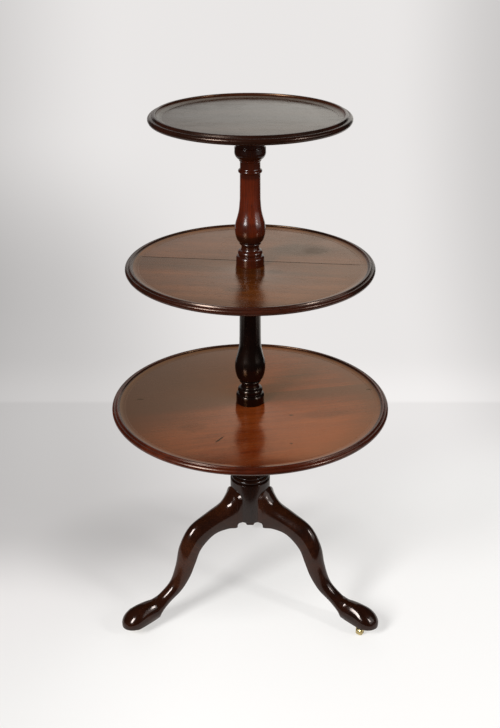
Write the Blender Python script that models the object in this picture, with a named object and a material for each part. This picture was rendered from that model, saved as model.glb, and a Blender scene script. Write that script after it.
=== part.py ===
# A three-tier mahogany dumbwaiter table. Three dished round tiers turn on one column, which stands
# on three cabriole legs with small brass castors.
# Metres, +Z up. The floor is z = 0, the front is -Y, and one leg points straight back, to +Y.

import math

import bmesh
import bpy
from mathutils import Matrix, Vector

# Clearances that every fit shares
GAP = 0.0003
RUNNING_GAP = 0.0004
OVERRUN = 0.004
MERGE = 0.00001

# Tiers: radius over the rim, and the height of the rim's crest above the floor
BOTTOM_RADIUS = 0.305
MIDDLE_RADIUS = 0.263
TOP_RADIUS = 0.204
BOTTOM_CREST = 0.522
MIDDLE_CREST = 0.846
TOP_CREST = 1.158
RIM_WIDTH = 0.023
RIM_HEIGHT = 0.0155
DISH_DEPTH = 0.0055
# The middle tier is glued up from two boards. The joint runs behind the column, a little askew.
BOARD_JOINT_BEHIND = 0.020
BOARD_JOINT_SKEW = math.radians(-6.4)

# The turned boss screwed under each tier, which rides on the column's shoulder
BOSS_RADIUS = 0.052
BOSS_HEIGHT = 0.016
BOSS_EDGE = 0.006
BOSS_SCREW_CIRCLE = 0.037
BOSS_SCREWS = 3
SCREW_HEAD_RADIUS = 0.0042
SCREW_HEAD_HEIGHT = 0.0026
SCREW_RADIUS = 0.0021
SCREW_BITE = 0.006
SPINDLE_RADIUS = 0.014
SPINDLE_ABOVE_FLOOR = 0.034
TOP_SPINDLE_BITE = 0.004
SPINDLE_CHAMFER = 0.002

# Column sections: the radius of the bulb and of the shaft. Then the height unit of the foot and vase,
# and the height of the capital, as shares of the section's length up to its shoulder.
UPPER_BULB = 0.032
UPPER_SHAFT = 0.0214
UPPER_UNIT_SHARE = 0.1137
UPPER_CAPITAL_SHARE = 0.3089
LOWER_BULB = 0.0335
LOWER_SHAFT = 0.0233
LOWER_UNIT_SHARE = 0.1219
LOWER_CAPITAL_SHARE = 0.2543
PILLAR_BULB = 0.038
PILLAR_SHAFT = 0.0265
PILLAR_UNIT_SHARE = 0.1777
PILLAR_CAPITAL_SHARE = 0.2725

# The hub at the foot of the pillar, which takes the legs
HUB_RADIUS = 0.0455
HUB_BOTTOM = 0.2235
HUB_TOP = 0.3210
HUB_RING_RADIUS = 0.0395
HUB_RING_HEIGHT = 0.0075
HUB_BEAD_RADIUS = 0.0365
HUB_BEAD_HEIGHT = 0.0045
HUB_QUIRK = 0.0015
HUB_COVE_HEIGHT = 0.0100
DOVETAIL_NECK = 0.015
DOVETAIL_WIDTH = 0.021
DOVETAIL_DEPTH = 0.013
DOVETAIL_HEIGHT = 0.068

# Legs: from the hub's face to the tip of the toe, and from the sole to the top of the joint. The foot's
# height is above its sole, and the toe's lip is what is left of it at the tip.
LEG_REACH = 0.2875
SOLE_HEIGHT = 0.024
LEG_TOP = 0.305
LEG_HALF_THICKNESS = 0.0235
TOE_RADIUS = 0.027
TOE_LIP = 0.008
FOOT_HEIGHT = 0.0468
CASTOR_BEHIND_BALL = 0.0075

# Castors: a socket plate let into the sole, a horn that swivels in it, an axle and a wheel
PLATE_RADIUS = 0.0165
PLATE_THICKNESS = 0.0016
SOCKET_RADIUS = 0.0052
SOCKET_HEIGHT = 0.014
PINTLE_RADIUS = 0.0032
PINTLE_HEIGHT = 0.0125
HORN_CAP_RADIUS = 0.0080
HORN_CAP_HEIGHT = 0.0022
CROWN_THICKNESS = 0.0024
CHEEK_THICKNESS = 0.0020
CHEEK_WIDTH = 0.0072
WHEEL_RADIUS = 0.0093
WHEEL_WIDTH = 0.0130
WHEEL_EDGE = 0.0020
AXLE_RADIUS = 0.0016
AXLE_HEAD = 0.0008
TRAIL = 0.0135
PLATE_SCREWS = 3
PLATE_SCREW_CIRCLE = 0.0115
PLATE_SCREW_RADIUS = 0.0010
PLATE_SCREW_HEAD = 0.0019
PLATE_SCREW_HEAD_HEIGHT = 0.0009
PLATE_SCREW_LENGTH = 0.0070
# How far each castor has turned from its leg's own line, as they happened to be left
CASTOR_TURNS = {"front_left": math.radians(-86), "front_right": math.radians(-98), "rear": math.radians(70)}

# Facets
TIER_TURNS = 42
COLUMN_TURNS = 16
SMALL_TURNS = 12
SCREW_TURNS = 6
ARC_CHORD = 0.009
LEAST_ARC_STEPS = 2
RIB_STEPS = 2
EYE_STEPS = 6
FACET_EDGE = math.radians(32)

# Outlines. A row is (radius share, height share, bulge share): the stretch that ends there bulges
# outward by that share of its chord, and hollows where it is negative. In the rim's rows the first share
# is of the rim's width, inward from its edge.
RIM_SHARES = (
    (1.00, 0.645, 0.0),
    (0.58, 0.960, -0.16),
    (0.46, 1.000, 0.0),
    (0.37, 0.960, 0.0),
    (0.33, 0.800, 0.0),
    (0.22, 0.830, 0.0),
    (0.05, 0.700, 0.16),
    (0.00, 0.480, 0.0),
    (0.04, 0.240, 0.0),
    (0.26, 0.020, 0.18),
    (0.36, 0.000, 0.0),
)
FOOT_SHARES = (
    (0.93, 0.00, 0.0),
    (0.92, 0.42, 0.0),
    (0.81, 0.63, 0.20),
    (0.76, 0.64, 0.0),
    (0.76, 0.70, 0.0),
    (0.68, 1.00, 0.28),
)
REEL_SHARES = (
    (0.62, 1.02, 0.0),
    (0.62, 1.37, -0.12),
    (0.66, 1.39, 0.0),
    (0.66, 1.53, 0.40),
)
VASE_SHARES = (
    (0.64, 1.56, 0.0),
    (0.85, 1.70, 0.0),
    (0.95, 1.97, 0.0),
    (1.00, 2.33, 0.0),
    (0.97, 2.68, 0.0),
    (0.88, 3.06, 0.0),
    (0.77, 3.48, 0.0),
    (0.70, 3.90, 0.0),
)
VASE_END_SHARE = 4.40
CAPITAL_SHARES = (
    (0.67, 0.00, 0.0),
    (0.67, 0.09, 0.45),
    (0.65, 0.11, 0.0),
    (0.65, 0.27, 0.0),
    (0.71, 0.29, 0.0),
    (0.71, 0.32, 0.0),
    (1.00, 0.52, 0.17),
    (1.00, 0.60, 0.0),
    (0.92, 0.62, 0.0),
    (0.94, 0.68, 0.0),
    (1.12, 0.84, -0.14),
    (1.15, 0.86, 0.0),
    (1.15, 1.00, 0.0),
)
ROUND_SHARE = 0.40
SOFT_SHARE = 0.20
COVE_SHARE = -0.22

# Leg stations, chosen along the side view: ridge reach and height, underside reach and height, as
# shares of the reach and of the height above the sole; half thickness and the underside's half width;
# and the share of the section's depth that is crown. The joint's stations flare to meet the hub.
JOINT_STATION_SHARES = (
    (-0.035, 1.000, -0.035, 0.710, 1.28, 1.19, 0.08),
    (0.000, 1.000, 0.000, 0.710, 1.24, 1.15, 0.10),
    (0.010, 0.987, 0.011, 0.690, 1.14, 1.06, 0.24),
)
LEG_STATION_SHARES = (
    (0.026, 0.966, 0.017, 0.667, 1.07, 0.99, 0.33),
    (0.085, 0.887, 0.098, 0.678, 1.00, 0.93, 0.41),
    (0.211, 0.831, 0.214, 0.659, 0.95, 0.88, 0.44),
    (0.380, 0.748, 0.326, 0.563, 0.92, 0.85, 0.45),
    (0.477, 0.594, 0.381, 0.437, 0.88, 0.81, 0.46),
    (0.516, 0.426, 0.427, 0.321, 0.80, 0.72, 0.48),
    (0.570, 0.278, 0.502, 0.210, 0.74, 0.64, 0.50),
    (0.662, 0.190, 0.600, 0.130, 0.74, 0.58, 0.52),
    (0.738, 0.168, 0.676, 0.046, 0.84, 0.50, 0.54),
)
# Foot stations: ridge reach and sole reach; half width and the sole's half width, as shares of the
# toe's radius. The crest falls along one curve, from its start to the toe's lip.
FOOT_STATION_SHARES = (
    (0.746, 0.690, 0.77, 0.34),
    (0.781, 0.746, 0.83, 0.56),
    (0.826, 0.816, 0.90, 0.78),
    (0.870, 0.868, 0.99, 0.93),
    (0.906, 0.906, 1.03, 1.00),
)
CREST_START_SHARE = 0.757
CREST_FALL_POWER = 2.0
CREST_FULLNESS_POWER = 1.5
TOE_ANGLES = tuple(math.radians(angle) for angle in (24, 46, 64, 80))
TOE_CROWN_SHARE = 0.55
SOLE_EDGE_SHARE = 0.95
SIDE_TAPER_SHARE = 0.60
CROWN_ANGLES = tuple(math.radians(angle) for angle in (0, 34, 63))

# What follows from the values above
TOE_REACH = HUB_RADIUS + LEG_REACH
COLUMN_Y = (BOTTOM_RADIUS - TOE_REACH) / 2
LEG_HEIGHT = LEG_TOP - SOLE_HEIGHT
LEG_NAMES = ("front_left", "front_right", "rear")
LEG_TURNS = dict(zip(LEG_NAMES, (math.radians(210), math.radians(330), math.radians(90))))
CASTOR_REACH = TOE_REACH - TOE_RADIUS - CASTOR_BEHIND_BALL
BORE_RADIUS = SPINDLE_RADIUS + GAP
TIER_CRESTS = {"bottom": BOTTOM_CREST, "middle": MIDDLE_CREST, "top": TOP_CREST}
TIER_RADII = {"bottom": BOTTOM_RADIUS, "middle": MIDDLE_RADIUS, "top": TOP_RADIUS}

MAHOGANY = {"colour": (0.16, 0.045, 0.018), "roughness": 0.22, "metallic": 0.0}
DARK_MAHOGANY = {"colour": (0.075, 0.022, 0.012), "roughness": 0.20, "metallic": 0.0}
BRASS = {"colour": (0.72, 0.52, 0.22), "roughness": 0.28, "metallic": 1.0}
IRON = {"colour": (0.10, 0.09, 0.085), "roughness": 0.55, "metallic": 1.0}


def clear_scene():
    for obj in list(bpy.data.objects):
        bpy.data.objects.remove(obj)


def finish_of(name, look):
    material = bpy.data.materials.new(name)
    material.use_nodes = True
    shader = material.node_tree.nodes["Principled BSDF"]
    shader.inputs["Base Color"].default_value = (*look["colour"], 1.0)
    shader.inputs["Roughness"].default_value = look["roughness"]
    shader.inputs["Metallic"].default_value = look["metallic"]
    return material


def empty(name, place, parent=None):
    """An empty that stands on an axis and carries what turns on it."""
    holder = bpy.data.objects.new(name, None)
    bpy.context.scene.collection.objects.link(holder)
    holder.location = place
    holder.parent = parent
    return holder


def piece_from(bm, name, look, parent):
    """Turns a bmesh into one named, smooth-shaded piece with a finish of its own."""
    bmesh.ops.recalc_face_normals(bm, faces=bm.faces)
    mesh = bpy.data.meshes.new(name)
    bm.to_mesh(mesh)
    bm.free()
    mesh.shade_smooth()
    mesh.set_sharp_from_angle(angle=FACET_EDGE)
    piece = bpy.data.objects.new(name, mesh)
    bpy.context.scene.collection.objects.link(piece)
    piece.parent = parent
    if look is None:
        piece.hide_render = True
        piece.display_type = "WIRE"
    else:
        mesh.materials.append(finish_of(name, look))
    return piece


def arc(start, end, bulge_share):
    """The points after start of an arc to end. It stands out on its right by a share of the chord."""
    across = Vector(end) - Vector(start)
    if not bulge_share:
        return [tuple(end)]
    chord = across.length
    rise = abs(bulge_share) * chord
    radius = (chord * chord / 4 + rise * rise) / (2 * rise)
    half_turn = 2 * math.atan2(2 * rise, chord)
    along = across.normalized()
    outward = Vector((along.y, -along.x)) * math.copysign(1, bulge_share)
    steps = max(LEAST_ARC_STEPS, round(chord / ARC_CHORD))
    points = []
    for step in range(1, steps):
        turn = half_turn * (2 * step / steps - 1)
        run = chord / 2 + radius * math.sin(turn)
        stand = radius * (math.cos(turn) - math.cos(half_turn))
        points.append(tuple(Vector(start) + along * run + outward * stand))
    points.append(tuple(end))
    return points


def outline(rows):
    """Expands rows of (radius, height, bulge share) into points."""
    points = [rows[0][:2]]
    for radius, height, bulge_share in rows[1:]:
        points += arc(points[-1], (radius, height), bulge_share)
    return points


def spin_round(bm, points, turns, ring=False):
    """Spins an outline about Z. An open one starts and ends on the axis; a ring is closed on itself."""
    verts = [bm.verts.new((radius, 0, height)) for radius, height in points]
    pairs = list(zip(verts, verts[1:]))
    if ring:
        pairs.append((verts[-1], verts[0]))
    edges = [bm.edges.new(pair) for pair in pairs]
    bmesh.ops.spin(bm, geom=verts + edges, cent=(0, 0, 0), axis=(0, 0, 1), angle=math.tau, steps=turns)
    bmesh.ops.remove_doubles(bm, verts=bm.verts, dist=MERGE)


def turned(name, points, turns, look, parent, ring=False):
    bm = bmesh.new()
    spin_round(bm, points, turns, ring)
    return piece_from(bm, name, look, parent)


def boolean(piece, other, operation):
    modifier = piece.modifiers.new(operation.lower(), "BOOLEAN")
    modifier.operation = operation
    modifier.object = other


def peg(name, radius, low, high, turns, parent, place=(0, 0)):
    """A plain round cutter that stands upright."""
    bm = bmesh.new()
    points = [(0, low), (radius, low), (radius, high), (0, high)]
    spin_round(bm, points, turns)
    bmesh.ops.translate(bm, vec=(*place, 0), verts=bm.verts)
    return piece_from(bm, name, None, parent)


def on_circle(count, radius, start=0.0):
    turns = [start + math.tau * index / count for index in range(count)]
    return [(radius * math.cos(turn), radius * math.sin(turn)) for turn in turns]


def floor_of(tier):
    return TIER_CRESTS[tier] - DISH_DEPTH


def underside_of(tier):
    return TIER_CRESTS[tier] - RIM_HEIGHT


def boss_bottom_of(tier):
    return underside_of(tier) - GAP - BOSS_HEIGHT


# Tiers

def tier_outline(tier):
    """The turned section of a dished tier, from the dish's floor over the rim to the flat underside."""
    radius = TIER_RADII[tier]
    low = underside_of(tier)
    rows = [(radius - inward * RIM_WIDTH, low + up * RIM_HEIGHT, bulge) for inward, up, bulge in RIM_SHARES]
    rim = outline([(r, z, -bulge) for r, z, bulge in rows])
    if tier == "top":
        bite = low + TOP_SPINDLE_BITE + RUNNING_GAP
        return [(0, floor_of(tier)), *rim, (BORE_RADIUS, low), (BORE_RADIUS, bite), (0, bite)]
    return [(BORE_RADIUS, floor_of(tier)), *rim, (BORE_RADIUS, low)]


def boss_screw_places(tier):
    start = math.pi / BOSS_SCREWS if tier == "middle" else 0.0
    return on_circle(BOSS_SCREWS, BOSS_SCREW_CIRCLE, start)


def screw_cutter(name, places, head_radius, head_height, radius, low, high, parent):
    """One cutter for all the holes of a circle of countersunk screws, a clearance wider than they are."""
    bm = bmesh.new()
    for x, y in places:
        hole = bmesh.new()
        points = [
            (0, low - OVERRUN),
            (head_radius + GAP, low - OVERRUN),
            (head_radius + GAP, low),
            (radius + GAP, low + head_height),
            (radius + GAP, high + GAP),
            (0, high + GAP),
        ]
        spin_round(hole, points, SCREW_TURNS)
        bmesh.ops.translate(hole, vec=(x, y, 0), verts=hole.verts)
        shape = bpy.data.meshes.new(name)
        hole.to_mesh(shape)
        hole.free()
        bm.from_mesh(shape)
        bpy.data.meshes.remove(shape)
    return piece_from(bm, name, None, parent)


def screws(name, places, head_radius, head_height, radius, low, high, look, parent):
    """A circle of countersunk screws, each a piece of its own."""
    points = [(0, low), (head_radius, low), (radius, low + head_height), (radius, high), (0, high)]
    for index, (x, y) in enumerate(places):
        screw = turned(f"{name}_{index + 1}", points, SCREW_TURNS, look, parent)
        screw.location = (x, y, 0)


def make_boss(tier, parent):
    """A turned mahogany disc with a rounded lower edge, bored for the spindle and screwed to the tier."""
    low = boss_bottom_of(tier)
    high = low + BOSS_HEIGHT
    rows = [
        (BORE_RADIUS, low, 0.0),
        (BOSS_RADIUS - BOSS_EDGE, low, 0.0),
        (BOSS_RADIUS, low + BOSS_EDGE, SOFT_SHARE),
        (BOSS_RADIUS, high - GAP, 0.0),
        (BOSS_RADIUS - GAP, high, 0.0),
        (BORE_RADIUS, high, 0.0),
    ]
    boss = turned(f"{tier}_tier_boss", outline(rows), COLUMN_TURNS, DARK_MAHOGANY, parent, ring=True)
    head_low = low + GAP
    tip = underside_of(tier) + SCREW_BITE
    places = boss_screw_places(tier)
    sizes = (SCREW_HEAD_RADIUS, SCREW_HEAD_HEIGHT, SCREW_RADIUS, head_low, tip)
    holes = screw_cutter(f"{tier}_boss_screw_holes", places, *sizes, parent)
    screws(f"{tier}_boss_screw", places, *sizes, IRON, parent)
    boolean(boss, holes, "DIFFERENCE")
    return holes


def half_space(name, side, parent):
    """A block that covers one side of the glue line and half of the gap along it."""
    reach = MIDDLE_RADIUS + OVERRUN
    near = -side * GAP / 2
    far = side * (2 * reach)
    bm = bmesh.new()
    bmesh.ops.create_cube(bm, size=1)
    block = (2 * reach, abs(far - near), RIM_HEIGHT + 2 * OVERRUN)
    bmesh.ops.scale(bm, vec=block, verts=bm.verts)
    bmesh.ops.translate(bm, vec=(0, (near + far) / 2, MIDDLE_CREST - RIM_HEIGHT / 2), verts=bm.verts)
    bmesh.ops.rotate(bm, cent=(0, 0, 0), matrix=Matrix.Rotation(BOARD_JOINT_SKEW, 3, "Z"), verts=bm.verts)
    bmesh.ops.translate(bm, vec=(0, BOARD_JOINT_BEHIND, 0), verts=bm.verts)
    return piece_from(bm, name, None, parent)


def make_tiers(column):
    for tier in TIER_CRESTS:
        axis = empty(f"{tier}_tier_axis", (0, 0, 0), column)
        holes = make_boss(tier, axis)
        is_ring = tier != "top"
        if tier == "middle":
            for board, side in (("front", -1), ("rear", 1)):
                name = f"middle_tier_{board}_board"
                piece = turned(name, tier_outline(tier), TIER_TURNS, MAHOGANY, axis, is_ring)
                other_side = half_space(f"middle_tier_{board}_cut", -side, axis)
                boolean(piece, other_side, "DIFFERENCE")
                boolean(piece, holes, "DIFFERENCE")
        else:
            piece = turned(f"{tier}_tier", tier_outline(tier), TIER_TURNS, MAHOGANY, axis, is_ring)
            boolean(piece, holes, "DIFFERENCE")


# Column

def scaled(shares, radius, low, unit):
    return [(share * radius, low + up * unit, bulge) for share, up, bulge in shares]


def shoulder_under(tier):
    return boss_bottom_of(tier) - RUNNING_GAP


def column_rows(low, tier, bulb, shaft, unit, capital):
    """Rows from a section's reel, over vase and shaft, up to the shoulder under a tier's boss."""
    shoulder = shoulder_under(tier)
    rows = scaled(REEL_SHARES + VASE_SHARES, bulb, low, unit)
    rows.append((shaft, low + VASE_END_SHARE * unit, 0.0))
    head = scaled(CAPITAL_SHARES, bulb, shoulder - capital, capital)
    rows.append((shaft, head[0][1], 0.0))
    rows += head[1:]
    return rows


def spindle_rows(tier):
    """The spindle that stands on a shoulder, through the boss and the tier, into what sits above."""
    shoulder = shoulder_under(tier)
    if tier == "top":
        tip = underside_of(tier) + TOP_SPINDLE_BITE
    else:
        tip = floor_of(tier) + SPINDLE_ABOVE_FLOOR
    return [
        (SPINDLE_RADIUS, shoulder, 0.0),
        (SPINDLE_RADIUS, tip - SPINDLE_CHAMFER, 0.0),
        (SPINDLE_RADIUS - SPINDLE_CHAMFER, tip, 0.0),
        (0, tip, 0.0),
    ]


def make_baluster(name, stands_on, tier, bulb, shaft, unit_share, capital_share, column):
    """A baluster-turned section: foot, reel, ring, vase, shaft, capital and the spindle on top."""
    low = floor_of(stands_on) + RUNNING_GAP
    length = shoulder_under(tier) - low
    unit = unit_share * length
    socket_top = floor_of(stands_on) + SPINDLE_ABOVE_FLOOR + GAP
    rows = [(0, socket_top, 0.0), (BORE_RADIUS, socket_top, 0.0), (BORE_RADIUS, low, 0.0)]
    rows += scaled(FOOT_SHARES, bulb, low, unit)
    rows += column_rows(low, tier, bulb, shaft, unit, capital_share * length)
    rows += spindle_rows(tier)
    return turned(name, outline(rows), COLUMN_TURNS, DARK_MAHOGANY, column)


def dovetail(bm, grow):
    """A dovetail key that points inward from the hub's face at +X, grown by a clearance on every side."""
    low = HUB_BOTTOM - (OVERRUN if grow else 0)
    high = HUB_BOTTOM + DOVETAIL_HEIGHT + grow
    outer = HUB_RADIUS + (OVERRUN if grow else DOVETAIL_DEPTH / 2)
    inner = HUB_RADIUS - DOVETAIL_DEPTH - grow
    neck = DOVETAIL_NECK / 2 + grow
    wide = DOVETAIL_WIDTH / 2 + grow
    slope = (wide - neck) / (HUB_RADIUS - inner)
    outer_half = neck - slope * (outer - HUB_RADIUS)
    corners = [(inner, -wide), (outer, -outer_half), (outer, outer_half), (inner, wide)]
    verts = [bm.verts.new((x, y, low)) for x, y in corners]
    face = bm.faces.new(verts)
    raised = bmesh.ops.extrude_face_region(bm, geom=[face])
    top = [item for item in raised["geom"] if isinstance(item, bmesh.types.BMVert)]
    bmesh.ops.translate(bm, vec=(0, 0, high - low), verts=top)


def make_pillar(column):
    """Hub, ring, short vase and spindle, turned from one post and slotted from below for the legs."""
    ring_low = HUB_TOP + HUB_QUIRK
    ring_high = ring_low + HUB_RING_HEIGHT
    bead_low = ring_high + HUB_QUIRK
    bead_high = bead_low + HUB_BEAD_HEIGHT
    cove_high = bead_high + HUB_COVE_HEIGHT
    length = shoulder_under("bottom") - HUB_TOP
    unit = PILLAR_UNIT_SHARE * length
    reel_radius = REEL_SHARES[0][0] * PILLAR_BULB
    low = cove_high + HUB_QUIRK - REEL_SHARES[0][1] * unit
    rows = [
        (0, HUB_BOTTOM, 0.0),
        (HUB_RADIUS - HUB_QUIRK, HUB_BOTTOM, 0.0),
        (HUB_RADIUS, HUB_BOTTOM + HUB_QUIRK, 0.0),
        (HUB_RADIUS, HUB_TOP, 0.0),
        (HUB_RING_RADIUS, HUB_TOP + HUB_QUIRK / 2, 0.0),
        (HUB_RING_RADIUS, ring_low, 0.0),
        (HUB_RING_RADIUS, ring_high, ROUND_SHARE),
        (HUB_BEAD_RADIUS, bead_low, 0.0),
        (HUB_BEAD_RADIUS, bead_high, ROUND_SHARE),
        (HUB_BEAD_RADIUS - HUB_QUIRK, bead_high, 0.0),
        (reel_radius + HUB_QUIRK, cove_high, COVE_SHARE),
    ]
    rows += column_rows(low, "bottom", PILLAR_BULB, PILLAR_SHAFT, unit, PILLAR_CAPITAL_SHARE * length)
    rows += spindle_rows("bottom")
    pillar = turned("pillar", outline(rows), COLUMN_TURNS, DARK_MAHOGANY, column)
    bm = bmesh.new()
    for turn in LEG_TURNS.values():
        before = set(bm.verts)
        dovetail(bm, GAP)
        fresh = [vert for vert in bm.verts if vert not in before]
        bmesh.ops.rotate(bm, cent=(0, 0, 0), matrix=Matrix.Rotation(turn, 3, "Z"), verts=fresh)
    slots = piece_from(bm, "pillar_slots", None, column)
    boolean(pillar, slots, "DIFFERENCE")
    return pillar


# Legs

def smooth_stations(stations):
    """Catmull-Rom stations between the given ones, RIB_STEPS to a stretch."""
    vectors = [Vector(row) for row in stations]
    ends = [2 * vectors[0] - vectors[1], *vectors, 2 * vectors[-1] - vectors[-2]]
    found = []
    for before, start, end, after in zip(ends, ends[1:], ends[2:], ends[3:]):
        for step in range(RIB_STEPS):
            t = step / RIB_STEPS
            point = start * 2 + (end - before) * t
            point += (before * 2 - start * 5 + end * 4 - after) * t * t
            point += (start * 3 - before - end * 3 + after) * t * t * t
            found.append(point / 2)
    return [*found, vectors[-1]]


def rib(under, ridge, half, low_half, crown_share):
    """One closed section: a narrow underside, sides that spread a little, and a rounded crown."""
    under = Vector((under[0], 0, under[1]))
    ridge = Vector((ridge[0], 0, ridge[1]))
    height = (ridge - under).length
    up = (ridge - under) / height
    rise = crown_share * height
    side = [(low_half, 0), (half, SIDE_TAPER_SHARE * (height - rise))]
    side += [(half * math.cos(angle), height - rise * (1 - math.sin(angle))) for angle in CROWN_ANGLES]
    loop = side + [(0, height)] + [(-across, along) for across, along in reversed(side)]
    return [under + up * along + Vector((0, across, 0)) for across, along in loop]


def crest_of(reach):
    """The height of the foot's crest above the sole, at a distance from the column's axis."""
    start = HUB_RADIUS + CREST_START_SHARE * LEG_REACH
    along = min(max((reach - start) / (TOE_REACH - start), 0.0), 1.0)
    left = (1 - along ** CREST_FALL_POWER) ** (1 / CREST_FULLNESS_POWER)
    return TOE_LIP + (FOOT_HEIGHT - TOE_LIP) * left


def leg_ribs():
    """Sections from inside the hub, over the knee and the ankle, to the tip of the toe."""
    stations = [Vector(row) for row in JOINT_STATION_SHARES] + smooth_stations(LEG_STATION_SHARES)
    ribs = []
    for ridge_out, ridge_up, under_out, under_up, half_share, low_share, crown_share in stations:
        half = half_share * LEG_HALF_THICKNESS
        low_half = low_share * LEG_HALF_THICKNESS
        ridge = (HUB_RADIUS + ridge_out * LEG_REACH, SOLE_HEIGHT + ridge_up * LEG_HEIGHT)
        under = (HUB_RADIUS + under_out * LEG_REACH, SOLE_HEIGHT + under_up * LEG_HEIGHT)
        ribs.append(rib(under, ridge, half, low_half, crown_share))
    for ridge_out, sole_out, half_share, sole_share in FOOT_STATION_SHARES:
        ball = HUB_RADIUS + ridge_out * LEG_REACH
        under = (HUB_RADIUS + sole_out * LEG_REACH, SOLE_HEIGHT)
        ridge = (ball, SOLE_HEIGHT + crest_of(ball))
        half = half_share * TOE_RADIUS
        ribs.append(rib(under, ridge, half, sole_share * TOE_RADIUS, TOE_CROWN_SHARE))
    for angle in TOE_ANGLES:
        reach = ball + TOE_RADIUS * math.sin(angle)
        across = half * math.cos(angle)
        ridge = (reach, SOLE_HEIGHT + crest_of(reach))
        ribs.append(rib((reach, SOLE_HEIGHT), ridge, across, across * SOLE_EDGE_SHARE, TOE_CROWN_SHARE))
    return ribs


def leg_shape():
    bm = bmesh.new()
    loops = [[bm.verts.new(point) for point in points] for points in leg_ribs()]
    for near, far in zip(loops, loops[1:]):
        for index in range(len(near)):
            after = (index + 1) % len(near)
            bm.faces.new((near[index], near[after], far[after], far[index]))
    bm.faces.new(loops[0])
    bm.faces.new(loops[-1])
    return bm


def make_legs(column):
    """Three sawn and shaped legs, dovetailed up into the hub, each with its castor under the toe."""
    hub_cutter = peg("hub_clearance", HUB_RADIUS + GAP, 0, LEG_TOP + OVERRUN, COLUMN_TURNS * 2, column)
    for name, turn in LEG_TURNS.items():
        holder = empty(f"leg_{name}_line", (0, 0, 0), column)
        holder.rotation_euler.z = turn
        leg = piece_from(leg_shape(), f"leg_{name}", DARK_MAHOGANY, holder)
        bm = bmesh.new()
        dovetail(bm, 0)
        key = piece_from(bm, f"leg_{name}_key", None, holder)
        recess = castor_recess(name, holder)
        boolean(leg, hub_cutter, "DIFFERENCE")
        boolean(leg, key, "UNION")
        boolean(leg, recess, "DIFFERENCE")
        make_castor(name, holder)


# Castors

def castor_recess(name, holder):
    """The hollow in the sole that takes the socket plate, with a deeper hole for the socket and screws."""
    bm = bmesh.new()
    plate_top = SOLE_HEIGHT + PLATE_THICKNESS + GAP
    socket_top = SOLE_HEIGHT + SOCKET_HEIGHT + GAP
    points = [
        (0, SOLE_HEIGHT - OVERRUN),
        (PLATE_RADIUS + GAP, SOLE_HEIGHT - OVERRUN),
        (PLATE_RADIUS + GAP, plate_top),
        (SOCKET_RADIUS + GAP, plate_top),
        (SOCKET_RADIUS + GAP, socket_top),
        (0, socket_top),
    ]
    spin_round(bm, points, SMALL_TURNS)
    bmesh.ops.translate(bm, vec=(CASTOR_REACH, 0, 0), verts=bm.verts)
    return piece_from(bm, f"castor_recess_{name}", None, holder)


def strap(bm, points, half_width):
    """Extrudes a closed outline in the XZ plane to both sides of it, along Y."""
    verts = [bm.verts.new((x, -half_width, z)) for x, z in points]
    face = bm.faces.new(verts)
    raised = bmesh.ops.extrude_face_region(bm, geom=[face])
    moved = [item for item in raised["geom"] if isinstance(item, bmesh.types.BMVert)]
    bmesh.ops.translate(bm, vec=(0, 2 * half_width, 0), verts=moved)


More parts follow.
